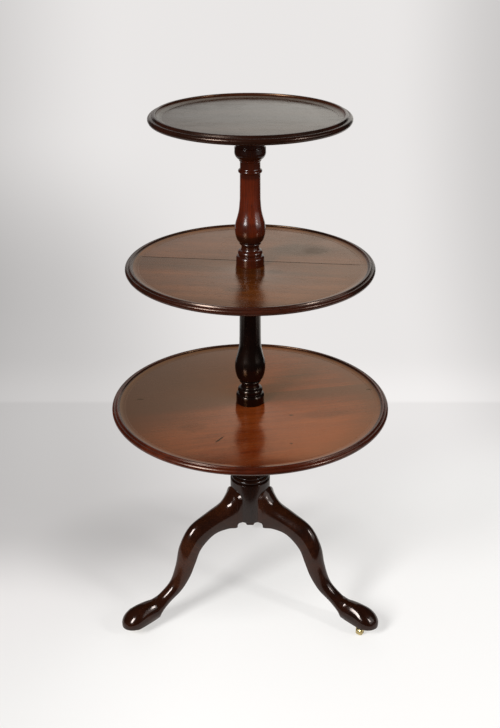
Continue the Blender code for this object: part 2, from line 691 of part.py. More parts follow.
def make_castor(name, holder):
    """A brass castor: a fixed socket plate with screws, and the horn, axle and wheel that swivel in it."""
    seat = empty(f"castor_{name}_seat", (CASTOR_REACH, 0, 0), holder)
    pintle_top = SOLE_HEIGHT + PINTLE_HEIGHT
    rows = [
        (PINTLE_RADIUS + GAP, SOLE_HEIGHT),
        (PLATE_RADIUS, SOLE_HEIGHT),
        (PLATE_RADIUS, SOLE_HEIGHT + PLATE_THICKNESS),
        (SOCKET_RADIUS, SOLE_HEIGHT + PLATE_THICKNESS),
        (SOCKET_RADIUS, SOLE_HEIGHT + SOCKET_HEIGHT),
        (PINTLE_RADIUS + GAP, SOLE_HEIGHT + SOCKET_HEIGHT),
    ]
    plate = turned(f"castor_plate_{name}", rows, SMALL_TURNS, BRASS, seat, ring=True)
    places = on_circle(PLATE_SCREWS, PLATE_SCREW_CIRCLE, math.pi / PLATE_SCREWS)
    head_low = SOLE_HEIGHT + GAP
    tip = SOLE_HEIGHT + PLATE_SCREW_LENGTH
    sizes = (PLATE_SCREW_HEAD, PLATE_SCREW_HEAD_HEIGHT, PLATE_SCREW_RADIUS, head_low, tip)
    holes = screw_cutter(f"castor_screw_holes_{name}", places, *sizes, seat)
    screws(f"castor_screw_{name}", places, *sizes, BRASS, seat)
    boolean(plate, holes, "DIFFERENCE")
    boolean(bpy.data.objects[f"leg_{name}"], holes, "DIFFERENCE")

    swivel = empty(f"castor_{name}_swivel", (0, 0, 0), seat)
    swivel.rotation_euler.z = CASTOR_TURNS[name]
    cap_top = SOLE_HEIGHT - RUNNING_GAP
    crown_top = cap_top - HORN_CAP_HEIGHT
    crown_low = crown_top - CROWN_THICKNESS
    bm = bmesh.new()
    cap_low = crown_top - CROWN_THICKNESS / 2
    cap = [(0, cap_low), (HORN_CAP_RADIUS, cap_low), (HORN_CAP_RADIUS, cap_top)]
    pintle = [(PINTLE_RADIUS, cap_top), (PINTLE_RADIUS, pintle_top), (0, pintle_top)]
    spin_round(bm, cap + pintle, SMALL_TURNS)
    horn = piece_from(bm, f"castor_fork_{name}", BRASS, swivel)
    fork_half = WHEEL_WIDTH / 2 + RUNNING_GAP + CHEEK_THICKNESS
    yoke = yoke_shape(crown_top, crown_low, fork_half)
    solid = piece_from(yoke, f"castor_yoke_{name}", None, swivel)
    window = wheel_window(name, swivel, crown_low)
    bore = axle_bore(name, swivel, fork_half)
    boolean(horn, solid, "UNION")
    boolean(horn, window, "DIFFERENCE")
    boolean(horn, bore, "DIFFERENCE")

    hub = empty(f"castor_{name}_axle_line", (TRAIL, 0, WHEEL_RADIUS), swivel)
    hub.rotation_euler.x = math.radians(90)
    tip = fork_half + AXLE_HEAD
    pin = [(0, -tip), (AXLE_RADIUS, -tip), (AXLE_RADIUS, tip), (0, tip)]
    turned(f"castor_axle_{name}", pin, SMALL_TURNS, IRON, hub)
    half = WHEEL_WIDTH / 2
    hole = AXLE_RADIUS + GAP
    tread = [
        (hole, half),
        (hole, -half),
        (WHEEL_RADIUS - WHEEL_EDGE, -half),
        (WHEEL_RADIUS, WHEEL_EDGE - half),
        (WHEEL_RADIUS, half - WHEEL_EDGE),
        (WHEEL_RADIUS - WHEEL_EDGE, half),
    ]
    turned(f"castor_wheel_{name}", tread, COLUMN_TURNS, BRASS, hub, ring=True)


def yoke_shape(crown_top, crown_low, fork_half):
    """The horn's side view: a crown that runs back from the pintle and cheeks that drop to the axle."""
    eye = CHEEK_WIDTH / 2
    back = TRAIL + eye
    front = TRAIL - eye
    points = [(-HORN_CAP_RADIUS / 2, crown_top), (-HORN_CAP_RADIUS / 2, crown_low), (front - eye, crown_low)]
    points.append((front, WHEEL_RADIUS))
    for step in range(1, EYE_STEPS):
        turn = math.pi + math.pi * step / EYE_STEPS
        points.append((TRAIL + eye * math.cos(turn), WHEEL_RADIUS + eye * math.sin(turn)))
    points += [(back, WHEEL_RADIUS), (back, crown_low), (TRAIL, crown_top)]
    bm = bmesh.new()
    strap(bm, points, fork_half)
    return bm


def wheel_window(name, swivel, crown_low):
    """The slot between the cheeks in which the wheel runs."""
    half = WHEEL_WIDTH / 2 + RUNNING_GAP
    reach = TRAIL + WHEEL_RADIUS + OVERRUN
    points = [(-reach, -OVERRUN), (reach, -OVERRUN), (reach, crown_low), (-reach, crown_low)]
    bm = bmesh.new()
    strap(bm, points, half)
    return piece_from(bm, f"castor_window_{name}", None, swivel)


def axle_bore(name, swivel, fork_half):
    bm = bmesh.new()
    reach = fork_half + OVERRUN
    radius = AXLE_RADIUS + GAP
    spin_round(bm, [(0, -reach), (radius, -reach), (radius, reach), (0, reach)], SMALL_TURNS)
    bmesh.ops.rotate(bm, cent=(0, 0, 0), matrix=Matrix.Rotation(math.radians(90), 3, "X"), verts=bm.verts)
    bmesh.ops.translate(bm, vec=(TRAIL, 0, WHEEL_RADIUS), verts=bm.verts)
    return piece_from(bm, f"castor_bore_{name}", None, swivel)


def build():
    clear_scene()
    column = empty("column_axis", (0, COLUMN_Y, 0))
    make_pillar(column)
    make_legs(column)
    make_tiers(column)
    lower_sizes = (LOWER_BULB, LOWER_SHAFT, LOWER_UNIT_SHARE, LOWER_CAPITAL_SHARE)
    make_baluster("lower_baluster", "bottom", "middle", *lower_sizes, column)
    upper_sizes = (UPPER_BULB, UPPER_SHAFT, UPPER_UNIT_SHARE, UPPER_CAPITAL_SHARE)
    make_baluster("upper_baluster", "middle", "top", *upper_sizes, column)


build()
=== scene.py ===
# A three-tier mahogany dumbwaiter table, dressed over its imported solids. Metres, +Z up, front to -Y.
# The sections follow the table as it is put together, from the pillar up to the top tier.
import math

import bmesh
import bpy
import numpy as np
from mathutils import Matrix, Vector


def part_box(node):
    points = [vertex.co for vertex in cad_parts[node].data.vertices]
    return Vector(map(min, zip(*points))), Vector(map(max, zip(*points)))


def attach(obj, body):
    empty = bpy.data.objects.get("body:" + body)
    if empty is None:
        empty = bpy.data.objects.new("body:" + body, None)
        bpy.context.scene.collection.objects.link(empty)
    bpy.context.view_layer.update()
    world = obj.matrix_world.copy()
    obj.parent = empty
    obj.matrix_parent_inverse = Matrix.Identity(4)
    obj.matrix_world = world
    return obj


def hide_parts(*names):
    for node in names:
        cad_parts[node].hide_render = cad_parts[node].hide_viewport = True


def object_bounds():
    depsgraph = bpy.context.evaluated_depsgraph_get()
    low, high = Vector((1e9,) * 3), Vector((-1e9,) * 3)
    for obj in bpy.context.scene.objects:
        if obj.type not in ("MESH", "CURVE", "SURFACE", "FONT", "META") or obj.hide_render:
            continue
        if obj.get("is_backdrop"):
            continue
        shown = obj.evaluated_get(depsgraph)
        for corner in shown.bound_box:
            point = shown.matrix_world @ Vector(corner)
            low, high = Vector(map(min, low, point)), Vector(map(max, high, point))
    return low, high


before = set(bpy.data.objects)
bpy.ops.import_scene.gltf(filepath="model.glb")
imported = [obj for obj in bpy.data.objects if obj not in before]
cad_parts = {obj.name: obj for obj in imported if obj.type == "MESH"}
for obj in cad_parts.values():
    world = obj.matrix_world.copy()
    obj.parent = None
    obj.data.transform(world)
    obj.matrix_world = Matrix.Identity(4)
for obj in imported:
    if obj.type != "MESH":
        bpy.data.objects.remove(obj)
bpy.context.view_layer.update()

# ---- Pillar
# One post of dark mahogany turned between centres: a plain hub that the legs are let into, a ring and
# a bead, then a short vase up to the shoulder under the bottom tier. A spindle on its top runs through
# the tier into the next section. Stained nearly black in the hollows, and polished.

tier_low, tier_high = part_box("bottom_tier")
COLUMN_Y = (tier_low.y + tier_high.y) / 2
SLIVER = 0.0003
RUNNING_GAP = 0.0004
BOSS_HEIGHT = 0.016
SPINDLE_RADIUS = 0.014
SPINDLE_CHAMFER = 0.002
BORE_RADIUS = SPINDLE_RADIUS + SLIVER
SOCKET_DEPTH = 0.034

ARC_STEP = 0.0012
LEAST_ARC_STEPS = 4
MOST_ARC_STEPS = 26
EASE = 0.0006
EASED_TURN = math.radians(18)
MERGE = 0.000004
COLUMN_TURNS = 112
CREASE = math.radians(38)
HOLLOW_WIDTH = 0.0012
BLUR_WIDTH = 0.0004
BLUR_STEPS = 4


def arc(start, end, bulge=0.0):
    """The points after start of an arc to end, which stands out to its right by a share of the chord."""
    if not bulge:
        return [tuple(end)]
    across = Vector(end) - Vector(start)
    chord = across.length
    rise = abs(bulge) * chord
    radius = (chord * chord / 4 + rise * rise) / (2 * rise)
    half_turn = 2 * math.atan2(2 * rise, chord)
    along = across.normalized()
    outward = Vector((along.y, -along.x)) * math.copysign(1, bulge)
    steps = min(MOST_ARC_STEPS, max(LEAST_ARC_STEPS, round(chord / ARC_STEP)))
    points = []
    for step in range(1, steps):
        turn = half_turn * (2 * step / steps - 1)
        run = chord / 2 + radius * math.sin(turn)
        stand = radius * (math.cos(turn) - math.cos(half_turn))
        points.append(tuple(Vector(start) + along * run + outward * stand))
    return [*points, tuple(end)]


def eased(points, ease):
    """Takes the sharpness off each corner of an outline, as sanding and polish do."""
    found = [points[0]]
    for before, here, after in zip(points, points[1:], points[2:]):
        back = Vector(before) - Vector(here)
        ahead = Vector(after) - Vector(here)
        turn = math.pi - back.angle(ahead)
        if turn < EASED_TURN or here[0] == 0:
            found.append(here)
            continue
        cut_back = back.normalized() * min(ease, back.length * 0.4)
        cut_ahead = ahead.normalized() * min(ease, ahead.length * 0.4)
        for share in (0, 0.33, 0.67, 1):
            keep = (1 - share) ** 2
            found.append(tuple(Vector(here) + cut_back * keep + cut_ahead * share ** 2))
    return [*found, points[-1]]


def flowing(rows, steps):
    """Catmull-Rom rows between the given ones."""
    vectors = [Vector(row) for row in rows]
    ends = [2 * vectors[0] - vectors[1], *vectors, 2 * vectors[-1] - vectors[-2]]
    found = []
    for before, start, end, after in zip(ends, ends[1:], ends[2:], ends[3:]):
        for step in range(steps):
            t = step / steps
            point = start * 2 + (end - before) * t
            point += (before * 2 - start * 5 + end * 4 - after) * t * t
            point += (start * 3 - before - end * 3 + after) * t * t * t
            found.append(point / 2)
    return [*found, vectors[-1]]


def outline(rows, ease=EASE):
    """The eased points of an outline's rows: radius, height, and the bulge of a row that isn't straight."""
    points = [tuple(rows[0][:2])]
    for radius, height, *bulge in rows[1:]:
        points += arc(points[-1], (radius, height), *bulge)
    return eased(points, ease)


def note_hollows(piece):
    """Writes how hollow, or below 0 how exposed, each point of the surface is, for dirt and wear."""
    mesh = piece.data
    count = len(mesh.vertices)
    places = np.empty(count * 3)
    facing = np.empty(count * 3)
    ends = np.empty(len(mesh.edges) * 2, int)
    mesh.vertices.foreach_get("co", places)
    mesh.vertices.foreach_get("normal", facing)
    mesh.edges.foreach_get("vertices", ends)
    places, facing, (one, two) = places.reshape(-1, 3), facing.reshape(-1, 3), ends.reshape(-1, 2).T
    across = places[two] - places[one]
    length = np.linalg.norm(across, axis=1) + 1e-9
    rise_one = (facing[one] * across).sum(1) / length
    rise_two = -(facing[two] * across).sum(1) / length

    def mean(at_one, at_two, weight):
        total = np.bincount(one, at_one, count) + np.bincount(two, at_two, count)
        return total / (np.bincount(one, weight, count) + np.bincount(two, weight, count) + 1e-9)

    bend = np.clip(mean(rise_one, rise_two, length) * HOLLOW_WIDTH, -1, 1)
    near = 1 / (length + BLUR_WIDTH)
    for _ in range(BLUR_STEPS):
        bend = bend * 0.5 + 0.5 * mean(bend[two] * near, bend[one] * near, near)
    attribute = mesh.attributes.get("hollow") or mesh.attributes.new("hollow", "FLOAT", "POINT")
    attribute.data.foreach_set("value", bend.astype(np.float32))


def pick(piece):
    """Selects one piece alone."""
    bpy.ops.object.select_all(action="DESELECT")
    piece.select_set(True)
    bpy.context.view_layer.objects.active = piece


def settled(piece):
    """Puts a piece's place into its mesh, and shades it smooth up to its creases."""
    pick(piece)
    bpy.ops.object.transform_apply(location=True, rotation=True, scale=True)
    bpy.ops.object.shade_smooth_by_angle(angle=CREASE)
    note_hollows(piece)
    return piece


def started(name, add, **values):
    """Adds a primitive by itself, to be shaped from there."""
    bpy.ops.object.select_all(action="DESELECT")
    add(**values)
    bpy.context.object.name = name
    return bpy.context.object


def set_mode(mode):
    bpy.ops.object.mode_set(mode=mode)


def pull_out(*step):
    bpy.ops.mesh.extrude_region_move(TRANSFORM_OT_translate={"value": step})


def select_all():
    bpy.ops.mesh.select_all(action="SELECT")


def drawn(name, points):
    """Draws an open outline point by point, from a plane that is pulled together into its first point."""
    piece = started(name, bpy.ops.mesh.primitive_plane_add, size=0.01, location=points[0])
    set_mode("EDIT")
    select_all()
    bpy.ops.mesh.merge(type="CENTER")
    select_all()
    for near, far in zip(points, points[1:]):
        step = [end - start for start, end in zip(near, far)]
        bpy.ops.mesh.extrude_vertices_move(TRANSFORM_OT_translate={"value": step})
    select_all()
    return piece


def face_outwards():
    """Turns all faces of the piece in edit mode outwards, and leaves edit mode."""
    select_all()
    bpy.ops.mesh.normals_make_consistent(inside=False)
    set_mode("OBJECT")


def turned(name, points, turns=COLUMN_TURNS, centre=(0.0, COLUMN_Y)):
    """Draws an outline beside the centre line, and spins it round, as on a lathe."""
    piece = drawn(name, [(centre[0] + radius, centre[1], height) for radius, height in points])
    bpy.ops.mesh.spin(steps=turns, angle=math.tau, center=(*centre, 0), axis=(0, 0, 1))
    select_all()
    bpy.ops.mesh.remove_doubles(threshold=MERGE)
    face_outwards()
    return settled(piece)


def dressed(piece, material, body, slot, *nodes):
    """Gives a finished piece its finish and its body, and hides the solids that it stands for."""
    piece.data.materials.clear()
    piece.data.materials.append(material)
    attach(piece, body)
    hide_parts(*nodes)


# Small node helpers, for the finishes
def feed(value, socket):
    value.id_data.links.new(value, socket)


def tree_of(*values):
    """The node tree that the sockets among some values stand in."""
    return next(value.id_data for value in values if isinstance(value, bpy.types.NodeSocket))


def add_node(tree, kind, inputs, **settings):
    """Adds a node with its settings, and links or sets its inputs. Gives back its outputs."""
    node = tree.nodes.new(f"ShaderNode{kind}")
    for label, setting in settings.items():
        setattr(node, label, setting)
    for label, value in inputs.items():
        if isinstance(value, bpy.types.NodeSocket):
            feed(value, node.inputs[label])
        elif node.inputs[label].type == "RGBA":
            node.inputs[label].default_value = (*value, 1.0)
        else:
            node.inputs[label].default_value = value
    return node.outputs


def calc(operation, *values):
    return add_node(tree_of(*values), "Math", dict(enumerate(values)), operation=operation)[0]


def times(product, *values):
    for value in values:
        product = calc("MULTIPLY", product, value)
    return product


def times_plus(value, factor, more):
    return calc("MULTIPLY_ADD", value, factor, more)


def fade(value, low, high, out_low=0.0, out_high=1.0):
    """Turns a value into a soft mask between two edges."""
    ends = {"Value": value, "From Min": low, "From Max": high, "To Min": out_low, "To Max": out_high}
    return add_node(tree_of(value), "MapRange", ends, interpolation_type="SMOOTHSTEP")["Result"]


def noise(vector, scale, detail=2.0, roughness=0.5, distortion=0.0):
    """A noise of one scale, or stretched by one for each axis."""
    if isinstance(scale, tuple):
        stretched = add_node(tree_of(vector), "VectorMath", {0: vector, 1: scale}, operation="MULTIPLY")
        vector, scale = stretched[0], 1.0
    values = {"Scale": scale, "Detail": detail, "Roughness": roughness, "Distortion": distortion}
    return add_node(tree_of(vector), "TexNoise", {"Vector": vector, **values})["Fac"]


def grey(value):
    return add_node(tree_of(value), "CombineXYZ", {0: value, 1: value, 2: value})[0]


def tint(share, first, second, mode="MIX"):
    colours = {0: share, 6: first, 7: second}
    return add_node(tree_of(share, first, second), "Mix", colours, data_type="RGBA", blend_type=mode)[2]


def ramp(value, stops):
    made = add_node(tree_of(value), "ValToRGB", {0: value})[0]
    elements = made.node.color_ramp.elements
    while len(elements) < len(stops):
        elements.new(0.5)
    for element, (place, colour) in zip(elements, stops):
        element.position = place
        element.color = (*colour, 1.0)
    return made


def new_group(name, given, *made):
    """An empty node group with one vector given and some values made, and its two end nodes' sockets."""
    tree = bpy.data.node_groups.new(name, "ShaderNodeTree")
    tree.interface.new_socket(given, in_out="INPUT", socket_type="NodeSocketVector")
    for label in made:
        tree.interface.new_socket(label, in_out="OUTPUT", socket_type="NodeSocketFloat")
    return tree, tree.nodes.new("NodeGroupInput").outputs[0], tree.nodes.new("NodeGroupOutput").inputs


def grain_group():
    """Mahogany along its X: broad ribbon bands, growth streaks, fine fibres and short open pores."""
    tree, along, made = new_group("mahogany_grain", "Along", "Bands", "Fibres", "Pores")
    broad = noise(along, (1.1, 8.0, 8.0), 3.0, 0.55, 0.5)
    streak = noise(along, (2.2, 34.0, 34.0), 4.0, 0.6, 0.3)
    mottle = noise(along, (26.0, 11.0, 11.0), 2.0, 0.5, 1.0)
    fibre = noise(along, (14.0, 380.0, 380.0), 2.0, 0.6)
    dash = noise(along, (70.0, 1100.0, 1100.0), 1.0)
    bands = times_plus(broad, 0.60, times(streak, 0.32))
    bands = times_plus(mottle, 0.08, bands)
    feed(fade(bands, 0.30, 0.70), made["Bands"])
    feed(fibre, made["Fibres"])
    feed(fade(dash, 0.60, 0.70), made["Pores"])
    return tree


def polish_group():
    """An old hand-rubbed polish: where it is smeared or rubbed thin, and how it lies unevenly."""
    tree, place, made = new_group("hand_polish", "Place", "Smears", "Ripple")
    cloud = noise(place, 7.0, 4.0, 0.6, 0.8)
    rub = noise(place, (9.0, 60.0, 60.0), 3.0, 0.6, 0.6)
    smears = times_plus(cloud, 0.65, times(rub, 0.35))
    wave = noise(place, 16.0, 1.0)
    orange_peel = noise(place, 300.0, 1.0)
    feed(fade(smears, 0.35, 0.68), made["Smears"])
    feed(times_plus(orange_peel, 0.05, wave), made["Ripple"])
    return tree


def age_group():
    """Old wax and dirt that stay in the hollows, and edges that hands and cloths have rubbed thin."""
    tree, place, made = new_group("age", "Place", "Dirt", "Wear")
    bend = add_node(tree, "Attribute", {}, attribute_name="hollow")["Fac"]
    hollow = times(bend, calc("ADD", noise(place, 55.0, 4.0, 0.65), 0.5))
    feed(fade(hollow, 0.03, 0.30), made["Dirt"])
    feed(fade(times(hollow, -1.0), 0.08, 0.42), made["Wear"])
    return tree


GRAIN = grain_group()
POLISH = polish_group()
AGE = age_group()

PLAIN = (1.0, 1.0, 1.0)
PORE_STAIN = 0.55
DIRT = 0.8
WEAR = 0.35
RIPPLE_DEPTH = 0.0006
PORE_DEPTH = 0.00003


def new_finish(name):
    """An empty material with its tree, its shader's sockets and the place on the piece."""
    material = bpy.data.materials.new(name)
    material.use_nodes = True
    tree = material.node_tree
    return material, tree, tree.nodes["Principled BSDF"].inputs, add_node(tree, "TexCoord", {})["Object"]


def mahogany(name, shades, heading=0.0, slope=0.0, shift=(0.0, 0.0, 0.0), gloss=(0.15, 0.25), haze=PLAIN):
    """A polished mahogany. The grain runs along the heading, and falls away from it by the slope."""
    material, tree, shader, place = new_finish(name)
    along = add_node(tree, "Mapping", {"Vector": place, "Rotation": (0, 0, -heading)})[0]
    along = add_node(tree, "Mapping", {"Vector": along, "Rotation": (0, slope, 0)})[0]
    along = add_node(tree, "VectorMath", {0: along, 1: shift}, operation="ADD")[0]
    grain = add_node(tree, "Group", {0: along}, node_tree=GRAIN)
    polish = add_node(tree, "Group", {0: along}, node_tree=POLISH)
    age = add_node(tree, "Group", {0: place}, node_tree=AGE)
    dark, middle, light = shades
    colour = ramp(grain["Bands"], ((0.05, dark), (0.5, middle), (0.95, light)))
    streaks = fade(grain["Fibres"], 0.30, 0.70, 0.78, 1.16)
    colour = tint(1.0, colour, grey(streaks), "MULTIPLY")
    for mask, share, shade in (
        (grain["Pores"], PORE_STAIN, [c * 0.25 for c in dark]),
        (age["Dirt"], DIRT, [c * 0.22 for c in dark]),
        (age["Wear"], WEAR, [c * 1.35 for c in light]),
    ):
        colour = tint(times(mask, share), colour, shade)
    feed(colour, shader["Base Color"])
    rough = times_plus(polish["Smears"], gloss[1] - gloss[0], gloss[0])
    rough = times_plus(age["Dirt"], 0.22, rough)
    feed(times_plus(grain["Pores"], 0.10, rough), shader["Roughness"])
    shader["IOR"].default_value = 1.5
    shader["Specular Tint"].default_value = (*haze, 1.0)
    ripple = {"Strength": 0.25, "Distance": RIPPLE_DEPTH, "Height": polish["Ripple"]}
    pits = {"Strength": 0.12, "Distance": PORE_DEPTH, "Height": grain["Pores"]}
    pits["Normal"] = add_node(tree, "Bump", ripple)[0]
    feed(add_node(tree, "Bump", pits, invert=True)[0], shader["Normal"])
    return material


UPRIGHT = math.pi / 2
PILLAR_SHADES = ((0.005, 0.002, 0.0012), (0.011, 0.0036, 0.0018), (0.024, 0.007, 0.0035))

HUB_RADIUS = 0.0455
HUB_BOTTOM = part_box("pillar")[0].z
HUB_TOP = 0.3210
HUB_EASE = 0.0015
RING_RADIUS = 0.0395
RING_HEIGHT = 0.0075
BEAD_RADIUS = 0.0365
BEAD_HEIGHT = 0.0045
QUIRK = 0.0015
COVE_HEIGHT = 0.0100
PILLAR_BULB = 0.038
PILLAR_UNIT = 0.0300
PILLAR_SHAFT = 0.0265
PILLAR_CAPITAL = 0.046

# The turner's marks, from a section's reel to its shoulder: (radius, height, bulge), as shares of the
# bulb's radius, and of the foot's unit or of the capital's height
REEL = ((0.62, 1.02), (0.62, 1.37, -0.12), (0.66, 1.39), (0.66, 1.53, 0.40))
VASE = (
    (0.64, 1.55), (0.80, 1.62), (0.875, 1.74), (0.935, 1.92), (0.98, 2.14), (1.00, 2.38),
    (0.985, 2.62), (0.945, 2.85), (0.88, 3.07), (0.81, 3.32), (0.75, 3.58), (0.715, 3.84),
)
VASE_STEPS = 5
VASE_END = 4.40
SHAFT_TAPER = 0.98
CAPITAL = (
    (0.67, 0.00), (0.67, 0.09, 0.45), (0.65, 0.11), (0.65, 0.27), (0.71, 0.29), (0.71, 0.32),
    (1.00, 0.52, 0.17), (1.00, 0.60), (0.92, 0.62), (0.94, 0.68), (1.12, 0.84, -0.14),
    (1.15, 0.86), (1.15, 1.00),
)


def scaled(shares, radius, low, unit):
    return [(share * radius, low + up * unit, *bulge) for share, up, *bulge in shares]


def section_rows(low, shoulder, bulb, unit, shaft, capital):
    """Rows from a section's reel, over vase and shaft, up to its shoulder."""
    vase = flowing([*VASE, (shaft / bulb, VASE_END)], VASE_STEPS)
    head = scaled(CAPITAL, bulb, shoulder - capital, capital)
    return [*scaled([*REEL, *vase], bulb, low, unit), (shaft * SHAFT_TAPER, head[0][1]), *head[1:]]


def spindle_rows(shoulder, tip):
    return [
        (SPINDLE_RADIUS, shoulder),
        (SPINDLE_RADIUS, tip - SPINDLE_CHAMFER),
        (SPINDLE_RADIUS - SPINDLE_CHAMFER, tip),
        (0, tip),
    ]


def shoulder_under(tier_node):
    """The height of a column's shoulder, a boss below the tier's underside."""
    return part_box(tier_node)[0].z - SLIVER - BOSS_HEIGHT - RUNNING_GAP


ring_low = HUB_TOP + QUIRK
ring_high = ring_low + RING_HEIGHT
bead_low = ring_high + QUIRK
bead_high = bead_low + BEAD_HEIGHT
cove_high = bead_high + COVE_HEIGHT
pillar_reel = REEL[0][0] * PILLAR_BULB
pillar_low = cove_high + QUIRK - REEL[0][1] * PILLAR_UNIT
pillar_shoulder = shoulder_under("bottom_tier")
pillar_rows = [
    (0, HUB_BOTTOM),
    (HUB_RADIUS - HUB_EASE, HUB_BOTTOM),
    (HUB_RADIUS, HUB_BOTTOM + HUB_EASE, 0.20),
    (HUB_RADIUS, HUB_TOP),
    (RING_RADIUS - QUIRK, HUB_TOP + QUIRK / 2),
    (RING_RADIUS, ring_low),
    (RING_RADIUS, ring_high, 0.40),
    (BEAD_RADIUS - QUIRK, ring_high + QUIRK / 2),
    (BEAD_RADIUS, bead_low),
    (BEAD_RADIUS, bead_high, 0.35),
    (BEAD_RADIUS - QUIRK, bead_high),
    (pillar_reel + QUIRK, cove_high, -0.22),
    *section_rows(pillar_low, pillar_shoulder, PILLAR_BULB, PILLAR_UNIT, PILLAR_SHAFT, PILLAR_CAPITAL),
    *spindle_rows(pillar_shoulder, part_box("pillar")[1].z),
]
pillar = turned("turned_pillar", outline(pillar_rows))
finish = mahogany("pillar_polish", PILLAR_SHADES, slope=UPRIGHT, shift=(0.3, 0.0, 0.1))
dressed(pillar, finish, "base", "mahogany_dark", "pillar")

# ---- Legs
# Three cabriole legs, sawn from thick mahogany plank, shaped with spokeshave and rasp, and dovetailed
# up into the hub. Flat sides below a rounded crown, a knee, a slim ankle and a slipper foot that ends
# in a round toe. One leg is modelled and copied to the three places.

LEG_REACH = 0.2875
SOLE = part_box("leg_rear")[0].z
LEG_TOP = 0.305
LEG_HEIGHT = LEG_TOP - SOLE
LEG_HALF = 0.0235
TOE_RADIUS = 0.027
TOE_LIP = 0.008
FOOT_HEIGHT = 0.0468
CASTOR_BACK = 0.0345
LEG_TURNS = {"front_left": math.radians(210), "front_right": math.radians(330), "rear": math.radians(90)}

# Stations: ridge reach and height, underside reach and height, half thickness, half width below, and
# how much of the depth is crown
JOINT_STATIONS = (
    (-0.035, 1.000, -0.035, 0.710, 1.19, 1.19, 0.24),
    (0.000, 1.000, 0.000, 0.710, 1.18, 1.18, 0.24),
)
LEG_STATIONS = (
    (0.010, 0.983, 0.011, 0.690, 1.14, 1.14, 0.25),
    (0.026, 0.962, 0.017, 0.667, 1.10, 1.09, 0.28),
    (0.085, 0.887, 0.098, 0.678, 1.02, 0.97, 0.36),
    (0.211, 0.831, 0.214, 0.659, 0.96, 0.89, 0.43),
    (0.380, 0.748, 0.326, 0.563, 0.92, 0.85, 0.45),
    (0.477, 0.594, 0.381, 0.437, 0.88, 0.81, 0.46),
    (0.516, 0.426, 0.427, 0.321, 0.80, 0.72, 0.48),
    (0.570, 0.278, 0.502, 0.210, 0.74, 0.64, 0.50),
    (0.662, 0.190, 0.600, 0.130, 0.74, 0.58, 0.52),
    (0.722, 0.172, 0.676, 0.046, 0.84, 0.50, 0.69),
)
# The foot's: ridge reach and sole reach; half width and the sole's half width, as shares of the toe's
# radius. Its crest falls along one curve to the toe's lip.
FOOT_STATIONS = (
    (0.746, 0.690, 0.77, 0.34),
    (0.781, 0.746, 0.83, 0.56),
    (0.826, 0.816, 0.90, 0.78),
    (0.870, 0.868, 0.99, 0.93),
    (0.906, 0.906, 1.03, 1.00),
)
FOOT_CROWN = 0.55
CREST_START = 0.757
CREST_FALL = 2.0
CREST_FULLNESS = 1.5
STATION_STEPS = 6
TOE_STEPS = 9
TOE_TURN = math.radians(86)
CROWN_STEPS = 10
ARRIS = math.radians(20)
ARRIS_WIDTH = 0.0022
SOLE_SHADE_LINE = 0.0042


def leg_section(under, ridge, half, low_half, crown):
    """One closed section across the leg: narrow underside, eased arris, flat side and rounded crown."""
    under, ridge = Vector((under[0], 0, under[1])), Vector((ridge[0], 0, ridge[1]))
    height = (ridge - under).length
    up = (ridge - under) / height
    low_half = min(low_half, half)
    edge = min(ARRIS_WIDTH, 0.10 * height)
    rise = crown * height
    side = [(low_half * 0.5, 0), (low_half - edge * 0.8, 0), (low_half - edge * 0.25, edge * 0.22)]
    side += [(low_half, edge), (low_half + (half - low_half) * 0.7, edge + (height - rise - edge) * 0.4)]
    for step in range(CROWN_STEPS):
        angle = ARRIS + (UPRIGHT - ARRIS) * step / CROWN_STEPS
        share = (math.sin(angle) - math.sin(ARRIS)) / (1 - math.sin(ARRIS))
        side.append((half * math.cos(angle) / math.cos(ARRIS), height - rise * (1 - share)))
    loop = [(0, 0), *side, (0, height), *[(-across, along) for across, along in reversed(side)]]
    return [under + up * along + Vector((0, across, 0)) for across, along in loop]


def reach_of(share):
    return HUB_RADIUS + share * LEG_REACH


def crest_of(reach):
    """The height of the foot's crest above the sole, at a distance from the column's axis."""
    start = reach_of(CREST_START)
    run = min(1.0, max(0.0, (reach - start) / (reach_of(1) - start)))
    return TOE_LIP + (FOOT_HEIGHT - TOE_LIP) * (1 - run ** CREST_FALL) ** (1 / CREST_FULLNESS)


def leg_sections():
    wide = TOE_RADIUS / LEG_HALF
    foot = []
    for ridge_out, sole_out, half, low_half in FOOT_STATIONS:
        crest = crest_of(reach_of(ridge_out)) / LEG_HEIGHT
        foot.append((ridge_out, crest, sole_out, 0.0, half * wide, low_half * wide, FOOT_CROWN))
    shin = flowing([*LEG_STATIONS, foot[0]], STATION_STEPS)[:-1]
    found = []
    for station in (*JOINT_STATIONS, *shin, *flowing(foot, STATION_STEPS)):
        ridge_out, ridge_up, under_out, under_up, half, low_half, crown = station
        reach = reach_of(ridge_out)
        crest = crest_of(reach) if ridge_out > CREST_START else ridge_up * LEG_HEIGHT
        under = (reach_of(under_out), SOLE + max(0.0, under_up) * LEG_HEIGHT)
        found.append(leg_section(under, (reach, SOLE + crest), half * LEG_HALF, low_half * LEG_HALF, crown))
    ball = reach_of(1) - TOE_RADIUS
    for step in range(1, TOE_STEPS + 1):
        angle = TOE_TURN * step / TOE_STEPS
        reach = ball + TOE_RADIUS * math.sin(angle)
        half = TOE_RADIUS * math.cos(angle)
        found.append(leg_section((reach, SOLE), (reach, SOLE + crest_of(reach)), half, half * 0.95, crown))
    return found


sections = leg_sections()
circle = bpy.ops.mesh.primitive_circle_add
leg = started("cabriole_leg", circle, vertices=len(sections[0]), radius=LEG_HALF, fill_type="NGON")
set_mode("EDIT")
for number, section in enumerate(sections):
    if number:
        pull_out(SLIVER, 0, 0)
    bm = bmesh.from_edit_mesh(leg.data)
    for vert, point in zip([vert for vert in bm.verts if vert.select], section):
        vert.co = point
bmesh.update_edit_mesh(leg.data)
face_outwards()


